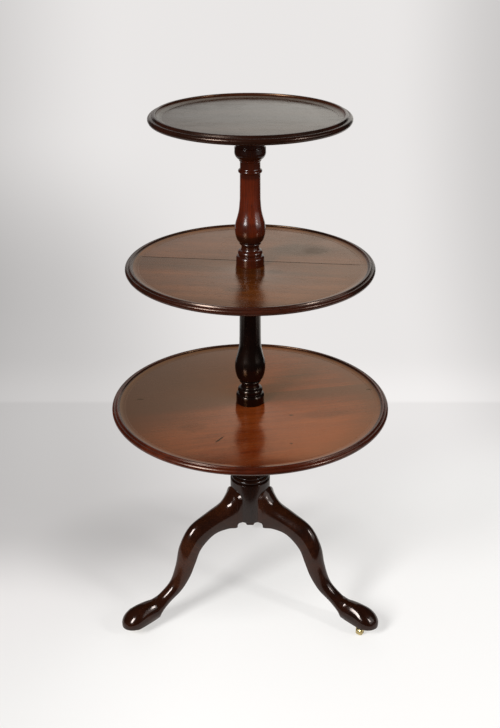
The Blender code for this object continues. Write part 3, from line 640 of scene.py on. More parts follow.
def round_cutter(radius, low, high, place, sides=96):
    """A round cutter, to bore or trim a piece with, which is thrown away after the cut."""
    middle = (place[0], place[1], (low + high) / 2)
    cylinder = bpy.ops.mesh.primitive_cylinder_add
    return started("cutter", cylinder, vertices=sides, radius=radius, depth=high - low, location=middle)


def modified(piece, kind, **settings):
    """Puts one modifier on a piece, and applies it."""
    modifier = piece.modifiers.new("change", kind)
    for label, setting in settings.items():
        setattr(modifier, label, setting)
    pick(piece)
    bpy.ops.object.modifier_apply(modifier="change")


def cut_away(piece, *cutters):
    for cutter in cutters:
        modified(piece, "BOOLEAN", operation="DIFFERENCE", object=cutter)
        bpy.data.objects.remove(cutter)


PLATE_RADIUS = 0.0165
PLATE_THICKNESS = 0.0016
SOCKET_RADIUS = 0.0052
SOCKET_HEIGHT = 0.014
over_castor = (reach_of(1) - CASTOR_BACK, 0)
cut_away(
    leg,
    round_cutter(HUB_RADIUS + SLIVER / 2, 0, LEG_TOP + 0.01, (0, 0)),
    round_cutter(PLATE_RADIUS + SLIVER, 0, SOLE + PLATE_THICKNESS + SLIVER, over_castor, 48),
    round_cutter(SOCKET_RADIUS + SLIVER, 0, SOLE + SOCKET_HEIGHT + SLIVER, over_castor, 32),
)


def copy_of(piece, name, place, turn, tilt=0.0):
    """A copy with a mesh of its own, tilted, turned about Z and moved to its place."""
    made = piece.copy()
    made.data = piece.data.copy()
    made.name = name
    bpy.context.scene.collection.objects.link(made)
    made.rotation_euler = (tilt, 0, turn)
    made.location = place
    return settled(made)


def spot_of(material, label="Object"):
    """The x, y and z of the place on a piece, or of its facing."""
    tree = material.node_tree
    coordinates = next(node for node in tree.nodes if node.type == "TEX_COORD").outputs
    return add_node(tree, "SeparateXYZ", {0: coordinates[label]})


def lay_over(material, mask, colour):
    """Lays one more colour over a finish, where the mask says."""
    socket = material.node_tree.nodes["Principled BSDF"].inputs["Base Color"]
    feed(tint(mask, socket.links[0].from_socket, colour), socket)


LEG_SHADES = ((0.009, 0.0025, 0.0012), (0.018, 0.0047, 0.0020), (0.036, 0.010, 0.0038))
LEG_SLOPE = math.radians(42)
LEG_GLOSS = (0.11, 0.20)
LEG_HAZE = (1.0, 0.88, 0.83)
GRIME_AND_SHADE = (0.006, 0.003, 0.002)
for name, turn in LEG_TURNS.items():
    made = copy_of(leg, f"cabriole_leg_{name}", (0, COLUMN_Y, 0), turn)
    shift = (0.7 * turn, 0.2, 0.4)
    finish = mahogany(f"leg_{name}_polish", LEG_SHADES, turn, LEG_SLOPE, shift, LEG_GLOSS, LEG_HAZE)
    # A painted shade line along the foot, just above the sole's edge
    off_sole_shade = calc("ABSOLUTE", calc("SUBTRACT", spot_of(finish)["Z"], SOLE + SOLE_SHADE_LINE))
    lay_over(finish, fade(off_sole_shade, 0.0003, 0.0010, 0.75, 0.0), GRIME_AND_SHADE)
    dressed(made, finish, "base", "mahogany_dark", f"leg_{name}")
bpy.data.objects.remove(leg)

# ---- Castors
# A small cast-brass castor under each toe: a round plate let into the sole and held by three screws,
# a horn whose pintle turns in the plate's socket, and a plain wheel on a riveted iron axle.

PINTLE_RADIUS = 0.0032
PINTLE_HEIGHT = 0.0125
CAP_RADIUS = 0.0080
CAP_HEIGHT = 0.0022
CROWN = 0.0024
CHEEK = 0.0020
CHEEK_WIDTH = 0.0072
WHEEL_RADIUS = 0.0093
WHEEL_WIDTH = 0.0130
AXLE_RADIUS = 0.0016
AXLE_HEAD = 0.0008
TRAIL = 0.0135
EYE_STEPS = 14
WINDOW_ABOVE = 0.004
FACE_SINK = 0.0006
TREAD_EDGE = 0.0020
METAL_EASE = 0.0003
SCRATCH_DEPTH = 0.00005


def metal(name, shade, tarnish, roughness):
    """A worn metal: bright where it is rubbed, brown with tarnish in patches and in the hollows."""
    material, tree, shader, place = new_finish(name)
    dirt = add_node(tree, "Group", {0: place}, node_tree=AGE)["Dirt"]
    dull = fade(noise(place, 140.0, 4.0, 0.6), 0.42, 0.68)
    colour = tint(times(dull, 0.6), shade, tarnish)
    colour = tint(times(dirt, 0.75), colour, [c * 0.25 for c in tarnish])
    feed(colour, shader["Base Color"])
    shader["Metallic"].default_value = 1.0
    rough = times_plus(dull, 0.16, roughness)
    feed(times_plus(dirt, 0.2, rough), shader["Roughness"])
    scratch = noise(place, (900.0, 900.0, 5000.0))
    bump = {"Strength": 0.2, "Distance": SCRATCH_DEPTH, "Height": scratch}
    feed(add_node(tree, "Bump", bump)[0], shader["Normal"])
    return material


brass = metal("castor_brass", (0.78, 0.66, 0.34), (0.42, 0.30, 0.12), 0.20)
iron = metal("screw_iron", (0.20, 0.19, 0.18), (0.07, 0.05, 0.04), 0.42)


def block_cutter(place, size, turn=(0, 0, 0)):
    cutter = started("cutter", bpy.ops.mesh.primitive_cube_add, size=1, location=place, rotation=turn)
    cutter.scale = size
    return cutter


def slotted_screw(name, head_radius, head_height, radius, length):
    """A countersunk wood screw that points up, with its slotted head down: one for the copies."""
    rows = [(0, 0), (head_radius, 0), (radius, head_height), (radius, length - 2 * radius), (0, length)]
    screw = turned(name, outline(rows, 0.00015), 24, (0, 0))
    cut_away(screw, block_cutter((0, 0, 0), (3 * head_radius, head_radius * 0.26, head_height * 0.7)))
    return settled(screw)


plate_rows = [
    (PINTLE_RADIUS + SLIVER, SOLE),
    (PLATE_RADIUS, SOLE),
    (PLATE_RADIUS, SOLE + PLATE_THICKNESS),
    (SOCKET_RADIUS, SOLE + PLATE_THICKNESS),
    (SOCKET_RADIUS, SOLE + SOCKET_HEIGHT),
    (PINTLE_RADIUS + SLIVER, SOLE + SOCKET_HEIGHT),
    (PINTLE_RADIUS + SLIVER, SOLE),
]
plate = turned("castor_plate", outline(plate_rows, METAL_EASE), 64, (0, 0))

cap_top = SOLE - RUNNING_GAP
crown_top = cap_top - CAP_HEIGHT
crown_low = crown_top - CROWN
fork_half = WHEEL_WIDTH / 2 + RUNNING_GAP + CHEEK
pintle_rows = [
    (0, crown_low + CROWN / 2),
    (CAP_RADIUS, crown_low + CROWN / 2),
    (CAP_RADIUS, cap_top, 0.12),
    (PINTLE_RADIUS, cap_top),
    (PINTLE_RADIUS, SOLE + PINTLE_HEIGHT),
    (0, SOLE + PINTLE_HEIGHT),
]
horn = turned("castor_horn", outline(pintle_rows, METAL_EASE), 48, (0, 0))
eye = CHEEK_WIDTH / 2
yoke_points = [(-CAP_RADIUS / 2, crown_top), (-CAP_RADIUS / 2, crown_low), (TRAIL - 2 * eye, crown_low)]
for step in range(EYE_STEPS + 1):
    angle = math.pi + math.pi * step / EYE_STEPS
    yoke_points.append((TRAIL + eye * math.cos(angle), WHEEL_RADIUS + eye * math.sin(angle)))
yoke_points += [(TRAIL + eye, crown_low), (TRAIL, crown_top)]
yoke = drawn("castor_yoke", [(reach, -fork_half, height) for reach, height in yoke_points])
bpy.ops.mesh.edge_face_add()
pull_out(0, 2 * fork_half, 0)
face_outwards()
settled(yoke)
window_deep = crown_low + WINDOW_ABOVE
window = (6 * eye, WHEEL_WIDTH + 2 * RUNNING_GAP, window_deep)
cut_away(yoke, block_cutter((TRAIL, 0, crown_low - window_deep / 2), window))
modified(yoke, "BEVEL", width=0.0004, segments=2, limit_method="ANGLE")
horn.select_set(True)
bpy.context.view_layer.objects.active = horn
bpy.ops.object.join()

half = WHEEL_WIDTH / 2
hole = AXLE_RADIUS + SLIVER
face_rows = [
    (hole, -half),
    (hole * 2.0, -half),
    (hole * 2.3, FACE_SINK - half),
    (WHEEL_RADIUS - TREAD_EDGE - FACE_SINK, FACE_SINK - half),
]
tread_rows = [
    *face_rows,
    (WHEEL_RADIUS - TREAD_EDGE, -half),
    (WHEEL_RADIUS, TREAD_EDGE - half, 0.16),
    (WHEEL_RADIUS, half - TREAD_EDGE, 0.02),
    (WHEEL_RADIUS - TREAD_EDGE, half, 0.16),
    *[(radius, -along) for radius, along in reversed(face_rows)],
    face_rows[0],
]
wheel = turned("castor_wheel", outline(tread_rows, METAL_EASE), 72, (0, 0))
tip = fork_half + AXLE_HEAD
axle_rows = [
    (0, -tip),
    (AXLE_RADIUS, AXLE_HEAD / 2 - tip, 0.2),
    (AXLE_RADIUS, tip - AXLE_HEAD / 2),
    (0, tip, 0.2),
]
axle = turned("castor_axle", outline(axle_rows, 0.0002), 32, (0, 0))
plate_screw = slotted_screw(
    "plate_screw", head_radius=0.0019, head_height=0.0009, radius=0.0010, length=0.0067
)


def under(node):
    """The middle of a solid's underside."""
    low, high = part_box(node)
    return Vector(((low.x + high.x) / 2, (low.y + high.y) / 2, low.z))


for name, turn in LEG_TURNS.items():
    pivot = under(f"castor_plate_{name}")
    pivot.z = 0
    low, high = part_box(f"castor_wheel_{name}")
    hub = (low + high) / 2
    heading = math.atan2(hub.y - pivot.y, hub.x - pivot.x)
    made = copy_of(plate, f"brass_plate_{name}", pivot, turn)
    dressed(made, brass, "base", "brass", f"castor_plate_{name}")
    for number in (1, 2, 3):
        node = f"castor_screw_{name}_{number}"
        made = copy_of(plate_screw, f"plate_screw_{name}_{number}", under(node), turn + number)
        dressed(made, brass, "base", "brass", node)
    made = copy_of(horn, f"brass_horn_{name}", pivot, heading)
    dressed(made, brass, f"castor_{name}", "brass", f"castor_fork_{name}")
    made = copy_of(axle, f"iron_axle_{name}", hub, heading, UPRIGHT)
    dressed(made, iron, f"castor_{name}", "iron", f"castor_axle_{name}")
    made = copy_of(wheel, f"brass_wheel_{name}", hub, heading, UPRIGHT)
    dressed(made, brass, f"wheel_{name}", "brass", f"castor_wheel_{name}")
for piece in (plate, horn, axle, wheel, plate_screw):
    bpy.data.objects.remove(piece)

# ---- Bottom tier
# A single wide board of mahogany, turned on the outboard face of the lathe: a sunk floor, a cove up to
# a low crest, then a groove and a bead round the edge. It rides on a turned boss, screwed up into its
# underside, and turns on the pillar's spindle.

TIER_TURNS = 224
CREST_INSIDE = 0.0130
TOP_CREST_INSIDE = 0.0158
# From the underside round the edge to the dish's floor: inward from the rim, height, bulge
RIM = (
    (0.0083, 0.0000),
    (0.0058, 0.0003),
    (0.0009, 0.0038, 0.17),
    (0.0000, 0.0074, 0.10),
    (0.0012, 0.0109, 0.14),
    (0.0050, 0.0130, 0.15),
    (0.0066, 0.0122),
    (0.0077, 0.0125, -0.10),
    (0.0087, 0.0148),
    (0.0106, 0.0155, 0.16),
    (CREST_INSIDE, 0.0149, 0.14),
    (0.0166, 0.0117, -0.16),
    (0.0278, 0.0101, -0.04),
    (0.0284, 0.0098),
    (0.0290, 0.0100),
)
# The top tier's crest stands a little higher, and further in
TOP_RIM = (
    *RIM[:7],
    (0.0080, 0.0127, -0.10),
    (0.0096, 0.0158),
    (0.0128, 0.0174, 0.17),
    (TOP_CREST_INSIDE, 0.0166, 0.14),
    (0.0196, 0.0121, -0.16),
    *RIM[-3:],
)
COVE_WIDE = 0.0040
FLOOR_EDGE = 0.027
CLEAN_FLOOR = 0.075
TIER_EASE = 0.0004
BOSS_RADIUS = 0.052
BOSS_EDGE = 0.006
SINK_RADIUS = 0.0045
SINK_DEPTH = 0.0030


def tier_points(radius, low, bore_top=None, profile=RIM):
    """A tier's section from its underside, round the rim and over the floor, back to its centre."""
    rim = [(radius - inward, low + up, *bulge) for inward, up, *bulge in profile]
    floor = low + RIM[-1][1]
    if bore_top is None:
        rows = [(BORE_RADIUS, low), *rim, (BORE_RADIUS, floor), (BORE_RADIUS, low)]
    else:
        rows = [(0, bore_top), (BORE_RADIUS, bore_top), (BORE_RADIUS, low), *rim, (0, floor)]
    return outline(rows, TIER_EASE)


def squares(across, along):
    return calc("ADD", times(across, across), times(along, along))


def from_column(material):
    """How far to the right of the column's axis, and how far behind it, a place on a tier lies."""
    x, y, z = spot_of(material)
    return x, calc("SUBTRACT", y, COLUMN_Y)


def behind_line(x, y, heading):
    """How far a place lies behind a line through the column's axis along the heading."""
    return times_plus(x, -math.sin(heading), times(y, math.cos(heading)))


def dulled(material, mask, amount):
    """Takes the gloss off a finish, where the mask says."""
    socket = material.node_tree.nodes["Principled BSDF"].inputs["Roughness"]
    feed(times_plus(mask, amount, socket.links[0].from_socket), socket)


def raw_underneath(material):
    """Below, a tier was left from the plane: no polish, a greyer brown, and dusty."""
    below = fade(spot_of(material, "Normal")["Z"], -0.97, -0.90, 1.0, 0.0)
    lay_over(material, times(below, 0.75), (0.060, 0.026, 0.013))
    dulled(material, below, 0.35)


def soiled_edge(material, edge):
    """Dirt has gathered on the floor of a tier, in from its rim."""
    radius = calc("SQRT", squares(*from_column(material)))
    dirt = fade(radius, edge - CLEAN_FLOOR, edge - FLOOR_EDGE, 0.0, 0.35)
    lay_over(material, dirt, COVE_SHADES[1])


def give_rim(piece, tier, edge, heading, shades, crest=CREST_INSIDE):
    """Gives a tier's steep cove and its rim finishes of their own, in darker tones."""
    for label, tone, gloss, haze in (
        ("cove", COVE_SHADES, COVE_GLOSS, COVE_HAZE),
        ("rim", shades, RIM_GLOSS, RIM_HAZE),
    ):
        finish = mahogany(f"{tier}_{label}_polish", tone, heading, 0.0, (0.2, 0.6, 0.3), gloss, haze)
        piece.data.materials.append(finish)
    for face in piece.data.polygons:
        out = edge - math.hypot(face.center.x, face.center.y - COLUMN_Y)
        if face.normal.z > 0 and crest <= out < crest + COVE_WIDE:
            face.material_index = 1
        elif out < crest and (face.normal.z > -0.9 or out < RIM[0][0]):
            face.material_index = 2


def blotch(x, y, place, size, turn=0.0, ragged=0.5, edge=0.4):
    """A soft oval mark at a place on a tier, with a ragged edge."""
    off_x, off_y = calc("SUBTRACT", x, place[0]), calc("SUBTRACT", y, place[1])
    cosine, sine = math.cos(turn), math.sin(turn)
    across = times_plus(off_x, cosine / size[0], times(off_y, sine / size[0]))
    along = times_plus(off_y, cosine / size[1], times(off_x, -sine / size[1]))
    away = calc("SUBTRACT", calc("SQRT", squares(across, along)), ragged / 2)
    spot = add_node(tree_of(x), "CombineXYZ", {0: x, 1: y})[0]
    away = times_plus(noise(spot, 1.6 / max(size), 4.0, 0.6), ragged, away)
    return fade(away, 1.0 - edge, 1.0 + edge, 1.0, 0.0)


def make_boss(tier, body, screw):
    """The turned bearing block under a tier, with its three sunk screws."""
    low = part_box(f"{tier}_tier_boss")[0].z
    high = low + BOSS_HEIGHT
    rows = [
        (BORE_RADIUS, low),
        (BOSS_RADIUS - BOSS_EDGE, low),
        (BOSS_RADIUS, low + BOSS_EDGE, 0.2),
        (BOSS_RADIUS, high),
        (BORE_RADIUS, high),
        (BORE_RADIUS, low),
    ]
    boss = turned(f"{tier}_boss", outline(rows))
    for number in (1, 2, 3):
        node = f"{tier}_boss_screw_{number}"
        place = under(node)
        cut_away(boss, round_cutter(SINK_RADIUS, low - SINK_DEPTH, low + SINK_DEPTH, place, 32))
        made = copy_of(screw, f"{tier}_wood_screw_{number}", place, 2.1 * number)
        dressed(made, iron, body, "iron", node)
    settled(boss)
    finish = mahogany(f"{tier}_boss_wood", PILLAR_SHADES, 0.4, 0.0, (0.2, 0.5, 0.0), (0.34, 0.48))
    dressed(boss, finish, body, "mahogany_dark", f"{tier}_tier_boss")


BOTTOM_SHADES = ((0.060, 0.009, 0.002), (0.128, 0.019, 0.003), (0.215, 0.042, 0.007))
COVE_SHADES = ((0.016, 0.005, 0.002), (0.030, 0.008, 0.003), (0.050, 0.013, 0.005))
COVE_GLOSS = (0.22, 0.32)
COVE_HAZE = (0.8, 0.5, 0.3)
BOTTOM_RIM_SHADES = ((0.024, 0.004, 0.0012), (0.044, 0.006, 0.0015), (0.075, 0.012, 0.003))
RIM_SHADES = ((0.009, 0.003, 0.0015), (0.020, 0.0045, 0.002), (0.042, 0.009, 0.004))
RIM_GLOSS = (0.20, 0.28)
RIM_HAZE = (1.1, 0.85, 0.7)

bottom_low, bottom_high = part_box("bottom_tier")
bottom_radius = bottom_high.x
bottom = turned("bottom_dish", tier_points(bottom_radius, bottom_low.z), TIER_TURNS)
TIER_HAZE = (2.25, 1.0, 0.2)
TIER_GLOSS = (0.12, 0.22)
BOTTOM_GRAIN = math.radians(12)
shift = (1.3, 0.07, 0.2)
finish = mahogany("bottom_tier_polish", BOTTOM_SHADES, BOTTOM_GRAIN, 0.0, shift, TIER_GLOSS, TIER_HAZE)
x, y = from_column(finish)
# Darker heartwood runs across behind the column, widest at the left, with a hard edge at the right
across = behind_line(x, y, BOTTOM_GRAIN)
strip = times(fade(x, -0.06, 0.06), fade(across, 0.028, 0.031, 0.0, 0.75))
share = calc("SUBTRACT", 0.75, times(strip, 0.80))
lay_over(finish, times(fade(across, -0.030, 0.004), share), (0.028, 0.008, 0.004))
# The left and the right have darkened, and the front right has faded
worn_left = times(fade(x, -0.25, 0.03, 0.82, 0.0), fade(y, -0.34, -0.05))
lay_over(finish, worn_left, (0.030, 0.010, 0.005))
lay_over(finish, fade(x, 0.16, 0.30, 0.0, 0.45), (0.050, 0.012, 0.004))
faded = times(fade(x, -0.01, 0.14, 0.0, 0.60), fade(y, -0.02, -0.20))
lay_over(finish, faded, (0.250, 0.052, 0.010))
# Dents, a gouge, and two faint patches of damp: place, size, turn and strength
for spot, size, turn, share in (
    ((-0.245, 0.008), (0.009, 0.0030), 0.0, 1.0),
    ((0.270, 0.057), (0.007, 0.0030), 0.0, 0.9),
    ((-0.064, -0.174), (0.0150, 0.0020), 1.0, 1.0),
    ((0.089, -0.067), (0.004, 0.003), 0.0, 0.8),
    ((0.085, -0.190), (0.003, 0.003), 0.0, 0.7),
    ((-0.120, -0.120), (0.030, 0.018), 0.2, 0.25),
    ((0.160, -0.060), (0.045, 0.020), 0.2, 0.20),
):
    mark = times(blotch(x, y, spot, size, turn, 0.3, 0.3), share)
    lay_over(finish, mark, GRIME_AND_SHADE)
    dulled(finish, mark, 0.25)
soiled_edge(finish, bottom_radius)
raw_underneath(finish)
dressed(bottom, finish, "bottom_tier", "mahogany", "bottom_tier")
give_rim(bottom, "bottom", bottom_radius, BOTTOM_GRAIN, BOTTOM_RIM_SHADES)
wood_screw = slotted_screw(
    "wood_screw", head_radius=0.0042, head_height=0.0026, radius=0.0021, length=0.0220
)
make_boss("bottom", "bottom_tier", wood_screw)

# ---- Lower baluster
# The middle length of the column, a dark turning with a stepped foot, a reel between two rings, a
# vase, a plain shaft and a cup under the shoulder. It sits over the pillar's spindle.

FOOT = (
    (0.93, 0.00), (0.92, 0.42), (0.81, 0.63, 0.20), (0.76, 0.64), (0.76, 0.70), (0.68, 1.00, 0.28),
)


def baluster_points(node, shoulder, bulb, unit, shaft, capital):
    """A baluster's section from its socket, over foot, vase, shaft and cup, up to its spindle's tip."""
    low, tip = (corner.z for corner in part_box(node))
    socket_top = low + SOCKET_DEPTH
    rows = [(0, socket_top), (BORE_RADIUS, socket_top), (BORE_RADIUS, low)]
    rows += scaled(FOOT, bulb, low, unit)
    rows += section_rows(low, shoulder, bulb, unit, shaft, capital)
    rows += spindle_rows(shoulder, tip)
    return outline(rows)


# Nearly black tones, partly the dark wood and partly painted shade of the middle tier above
LOWER_TONES_AND_SHADE = ((0.002, 0.0010, 0.0008), (0.004, 0.0015, 0.0010), (0.010, 0.003, 0.0015))
LOWER_GLOSS = (0.15, 0.25)
LOWER_HAZE = (0.8, 0.65, 0.55)
shoulder = shoulder_under("middle_tier_front_board")
points = baluster_points("lower_baluster", shoulder, bulb=0.0335, unit=0.0362, shaft=0.0233, capital=0.0755)
lower = turned("lower_turning", points)
shift = (0.9, 0.1, 0.3)
finish = mahogany("lower_baluster_polish", LOWER_TONES_AND_SHADE, 0.0, UPRIGHT, shift, LOWER_GLOSS, LOWER_HAZE)
dressed(lower, finish, "base", "mahogany_dark", "lower_baluster")

# ---- Middle tier
# Glued up from two boards, whose joint has opened and worn behind the column. An old bluish stain
# lies across it, right of the column. The edge is turned as on the tier below.

JOINT_BEHIND = 0.020
JOINT_SKEW = math.radians(-6.4)
JOINT_WEAR = 0.0016
JOINT_SHORT = 0.030
MIDDLE_SHADES = ((0.036, 0.010, 0.002), (0.086, 0.021, 0.003), (0.150, 0.042, 0.008))
middle_low, middle_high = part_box("middle_tier_front_board")
middle_radius = middle_high.x
across_joint = Vector((-math.sin(JOINT_SKEW), math.cos(JOINT_SKEW), 0))
for board, side in (("front", -1), ("rear", 1)):
    made = turned(f"middle_dish_{board}", tier_points(middle_radius, middle_low.z), TIER_TURNS)
    set_mode("EDIT")
    select_all()
    on_joint = Vector((0, COLUMN_Y + JOINT_BEHIND, 0)) + across_joint * side * SLIVER / 2
    bpy.ops.mesh.bisect(
        plane_co=on_joint, plane_no=across_joint * side, use_fill=True, clear_inner=True, threshold=MERGE
    )
    face_outwards()
    on_floor = (0, COLUMN_Y + JOINT_BEHIND, middle_low.z + RIM[-1][1])
    groove = (2 * (middle_radius - JOINT_SHORT), JOINT_WEAR, JOINT_WEAR)
    cut_away(made, block_cutter(on_floor, groove, (UPRIGHT / 2, 0, JOINT_SKEW)))
    settled(made)
    shift = (0.4, 0.33, 0.1) if board == "front" else (2.1, 0.90, 0.5)
    heading = JOINT_SKEW + math.radians(1.5 * side)
    finish = mahogany(f"middle_{board}_polish", MIDDLE_SHADES, heading, 0.0, shift, (0.13, 0.24), TIER_HAZE)
    x, y = from_column(finish)
    behind = calc("SUBTRACT", behind_line(x, y, JOINT_SKEW), JOINT_BEHIND * math.cos(JOINT_SKEW))
    off_joint = calc("ABSOLUTE", behind)
    lay_over(finish, fade(off_joint, 0.0008, 0.0036, 0.85, 0.0), (0.010, 0.006, 0.004))
    for spot, size, share in (
        ((0.112, 0.088), (0.062, 0.036), 0.70),
        ((0.142, 0.082), (0.026, 0.018), 0.60),
        ((0.051, -0.047), (0.016, 0.012), 0.45),
        ((-0.030, -0.148), (0.024, 0.012), 0.45),
    ):
        mark = times(blotch(x, y, spot, size), share)
        lay_over(finish, mark, (0.006, 0.009, 0.009))
        dulled(finish, mark, 0.12)
    soiled_edge(finish, middle_radius)
    raw_underneath(finish)
    dressed(made, finish, "middle_tier", "mahogany", f"middle_tier_{board}_board")
    give_rim(made, "middle", middle_radius, heading, RIM_SHADES)
make_boss("middle", "middle_tier", wood_screw)

# ---- Upper baluster
# The top length of the column: the same turning, a little slimmer, in a redder and paler wood.

UPPER_SHADES = ((0.042, 0.006, 0.002), (0.100, 0.013, 0.003), (0.155, 0.025, 0.005))
UPPER_GLOSS = (0.17, 0.25)
UPPER_UNIT = 0.0324
UPPER_CAPITAL = 0.088


def darken_bands(material, bands, shade, edge):
    """Darkens a turning between pairs of heights."""
    height = spot_of(material)["Z"]
    for low, high, share in bands:
        above = fade(height, low - edge, low + edge, 0.0, share)
        lay_over(material, times(above, fade(height, high - edge, high + edge, 1.0, 0.0)), shade)


shoulder = shoulder_under("top_tier")
points = baluster_points(
    "upper_baluster", shoulder, bulb=0.032, unit=UPPER_UNIT, shaft=0.0214, capital=UPPER_CAPITAL
)
upper = turned("upper_turning", points)
finish = mahogany("upper_baluster_polish", UPPER_SHADES, 0.0, UPRIGHT, (1.7, 0.4, 0.2), UPPER_GLOSS)
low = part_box("upper_baluster")[0].z
head = shoulder - UPPER_CAPITAL
# Darker bands on the foot, the reel and the lower vase; and on the shaft's top and the cup, as painted
# shade of the top tier
bands = (
    (low, low + 1.02 * UPPER_UNIT, 0.60),
    (low + 1.4 * UPPER_UNIT, low + 3.0 * UPPER_UNIT, 0.30),
    (low + 1.02 * UPPER_UNIT, low + 2.1 * UPPER_UNIT, 0.75),
    (head - 0.010, head + 0.030, 0.60),
    (head + 0.030, shoulder, 0.85),
)
darken_bands(finish, bands, (0.008, 0.003, 0.0015), 0.004)
dressed(upper, finish, "base", "mahogany_dark", "upper_baluster")

# ---- Top tier
# The smallest board, turned like the others but bored only part of the way from below. Its floor is
# darker and greyer from years of use, and its edge has a small nick at the front.

TOP_SHADES = ((0.018, 0.009, 0.004), (0.035, 0.015, 0.005), (0.055, 0.024, 0.009))
TOP_BITE = 0.0044
TOP_GRAIN = -0.07
NICK = (-0.0376, -0.2012, 0.0097)
NICK_SIZE = (0.0022, 0.0028, 0.0012)
top_low, top_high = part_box("top_tier")
top_radius = top_high.x
top = turned("top_dish", tier_points(top_radius, top_low.z, top_low.z + TOP_BITE, TOP_RIM), TIER_TURNS)
place = (NICK[0], COLUMN_Y + NICK[1], top_low.z + NICK[2])
nick = started("cutter", bpy.ops.mesh.primitive_ico_sphere_add, subdivisions=2, radius=1.0, location=place)
nick.scale = NICK_SIZE
cut_away(top, nick)
settled(top)
shift, gloss = (3.1, 0.5, 0.6), (0.14, 0.26)
finish = mahogany("top_tier_polish", TOP_SHADES, TOP_GRAIN, 0.0, shift, gloss, (1.3, 1.15, 0.9))
soiled_edge(finish, top_radius)
raw_underneath(finish)
dressed(top, finish, "top_tier", "mahogany", "top_tier")
give_rim(top, "top", top_radius, 0.0, RIM_SHADES, TOP_CREST_INSIDE)
make_boss("top", "top_tier", wood_screw)
bpy.data.objects.remove(wood_screw)

# ---- Studio
# A pale paper sweep under and behind the table, one tall soft light at the left, a narrow one and a
# pale wall's at the right, and the camera at the photograph's angle.

SWEEP_BACK = 2.4
SWEEP_BEND = 1.2
SWEEP_FRONT = -0.50
SWEEP_TOP = 4.5
SWEEP_HALF = 1.45
SWEEP_STEPS = 24
sweep_points = [(-SWEEP_HALF, SWEEP_FRONT, 0)]
for step in range(SWEEP_STEPS + 1):
    angle = UPRIGHT * step / SWEEP_STEPS
    back = SWEEP_BACK - SWEEP_BEND + SWEEP_BEND * math.sin(angle)
    sweep_points.append((-SWEEP_HALF, back, SWEEP_BEND * (1 - math.cos(angle))))
sweep = drawn("paper_sweep", [*sweep_points, (-SWEEP_HALF, SWEEP_BACK, SWEEP_TOP)])
pull_out(2 * SWEEP_HALF, 0, 0)
select_all()
bpy.ops.mesh.flip_normals()
set_mode("OBJECT")
settled(sweep)
sweep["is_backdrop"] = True

paper = bpy.data.materials.new("pale_paper")
paper.use_nodes = True
tree = paper.node_tree
tree.nodes.clear()
place = add_node(tree, "TexCoord", {})["Object"]
x, y, z = add_node(tree, "SeparateXYZ", {0: place})
# Painted shade behind the table: the paper greyer to both sides, and a painted shadow of the tiers low at
# the left
far = times(fade(x, -1.5, -0.5, 0.62, 1.0), fade(x, 0.55, 1.1, 0.82, 0.60))
slanted = times_plus(y, 0.18, x)
painted_tier_shadow = times(fade(slanted, -0.45, 0.25, 1.0, 0.0), fade(y, -0.08, 0.25))
painted_tier_shadow = times(painted_tier_shadow, fade(z, 0.05, 0.6, 0.30, 0.0))
far = times(far, calc("SUBTRACT", 1.0, painted_tier_shadow))
# A painted band of light along the paper's bend
bend = times(fade(y, 0.955, 0.985, 0.0, 0.09), fade(y, 0.98, 1.35, 1.0, 0.0))
far = times_plus(far, bend, far)
# In front it is nearly white, but for a little shade at the left and under the table
near = fade(times_plus(x, -0.9, y), 0.50, -0.05)
near = times(near, fade(y, 0.35, 0.90, 1.0, 0.0))
front = fade(x, -0.70, -0.05, 0.80, 0.98)
level = times_plus(near, calc("SUBTRACT", front, far), far)
# A soft painted shade on the paper under the table, an oval a little left of and behind the column
aside = calc("DIVIDE", calc("ADD", x, 0.10), 0.40)
beyond = calc("DIVIDE", calc("SUBTRACT", y, 0.16), 0.25)
level = times(level, fade(squares(aside, beyond), 0.2, 1.6, 0.86, 1.0))
shade = tint(near, (1.0, 0.975, 0.965), (1.0, 0.99, 0.975))
shade = tint(1.0, shade, grey(level), "MULTIPLY")
# What the polish mirrors of it: brightest at the right, and darker near the floor
rays = add_node(tree, "LightPath", {})
mirrored = tint(fade(x, -0.80, 0.45), (0.50, 0.49, 0.48), (0.99, 0.97, 0.92))
mirrored = tint(fade(y, -0.2, 1.2), (0.40, 0.35, 0.32), mirrored)
mirrored = tint(rays["Is Glossy Ray"], shade, mirrored)
direct = calc("MAXIMUM", rays["Is Glossy Ray"], rays["Is Transmission Ray"])
direct = calc("MAXIMUM", rays["Is Camera Ray"], direct)
share = times(direct, fade(y, 0.1, 0.9, 0.50, 1.0))
lit = add_node(tree, "BsdfDiffuse", {"Color": shade})[0]
seen = add_node(tree, "Emission", {"Color": mirrored})[0]
both = add_node(tree, "MixShader", {0: share, 1: lit, 2: seen})[0]
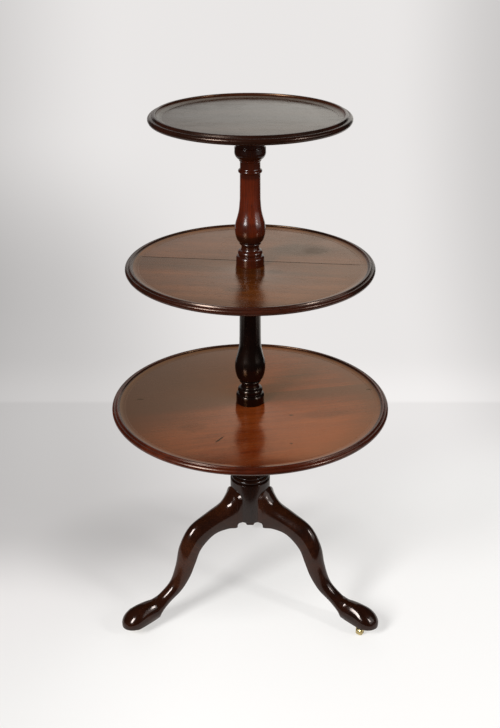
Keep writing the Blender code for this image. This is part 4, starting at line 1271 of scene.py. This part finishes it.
# From behind, the paper isn't seen
away = add_node(tree, "NewGeometry", {})["Backfacing"]
clear = add_node(tree, "BsdfTransparent", {})[0]
shown = add_node(tree, "MixShader", {0: times(away, rays["Is Camera Ray"]), 1: both, 2: clear})[0]
add_node(tree, "OutputMaterial", {"Surface": shown})
sweep.data.materials.append(paper)

world = bpy.data.worlds.new("room")
bpy.context.scene.world = world
world.use_nodes = True
tree = world.node_tree
background = tree.nodes["Background"]
background.inputs["Color"].default_value = (1.0, 0.99, 0.98, 1.0)
rays = add_node(tree, "LightPath", {})
glossy = times_plus(rays["Is Glossy Ray"], -0.275, 0.30)
strength = times_plus(rays["Is Camera Ray"], 0.5, glossy)
feed(strength, background.inputs["Strength"])

AIM = Vector((0, 0, 0.65))
for name, place, size, power in (
    ("left_softbox", (-2.2, -2.6, 2.5), (1.00, 1.60), 160),
    ("right_window", (2.40, -1.60, 1.9), (0.30, 0.90), 24),
    ("right_wall", (2.50, -1.00, 1.4), (2.20, 1.20), 11),
):
    lamp = bpy.data.lights.new(name, "AREA")
    lamp.shape = "RECTANGLE"
    lamp.size, lamp.size_y = size
    lamp.energy = power
    holder = bpy.data.objects.new(name, lamp)
    bpy.context.scene.collection.objects.link(holder)
    holder.location = place
    holder.rotation_euler = (AIM - Vector(place)).to_track_quat("-Z", "Y").to_euler()

# The camera, as fitted to the photograph, with lengths in its pixels
IMAGE_HEIGHT = 728
SENSOR = 36
FOCAL_LENGTH = 1081.87
CENTRE_SHIFT = (-0.2, -23.94)
CAMERA_BACK = 2.1386
CAMERA_HEIGHT = 1.630
CAMERA_TILT = 0.4238
camera = bpy.data.cameras.new("camera")
camera.sensor_fit = "VERTICAL"
camera.sensor_height = SENSOR
camera.lens = FOCAL_LENGTH / IMAGE_HEIGHT * SENSOR
camera.shift_x, camera.shift_y = (shift / IMAGE_HEIGHT for shift in CENTRE_SHIFT)
stand = bpy.data.objects.new("camera", camera)
bpy.context.scene.collection.objects.link(stand)
stand.location = (0, COLUMN_Y - CAMERA_BACK, CAMERA_HEIGHT)
stand.rotation_euler = (UPRIGHT - CAMERA_TILT, 0, 0)
bpy.context.scene.camera = stand
bpy.context.scene.view_settings.view_transform = "Standard"

low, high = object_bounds()
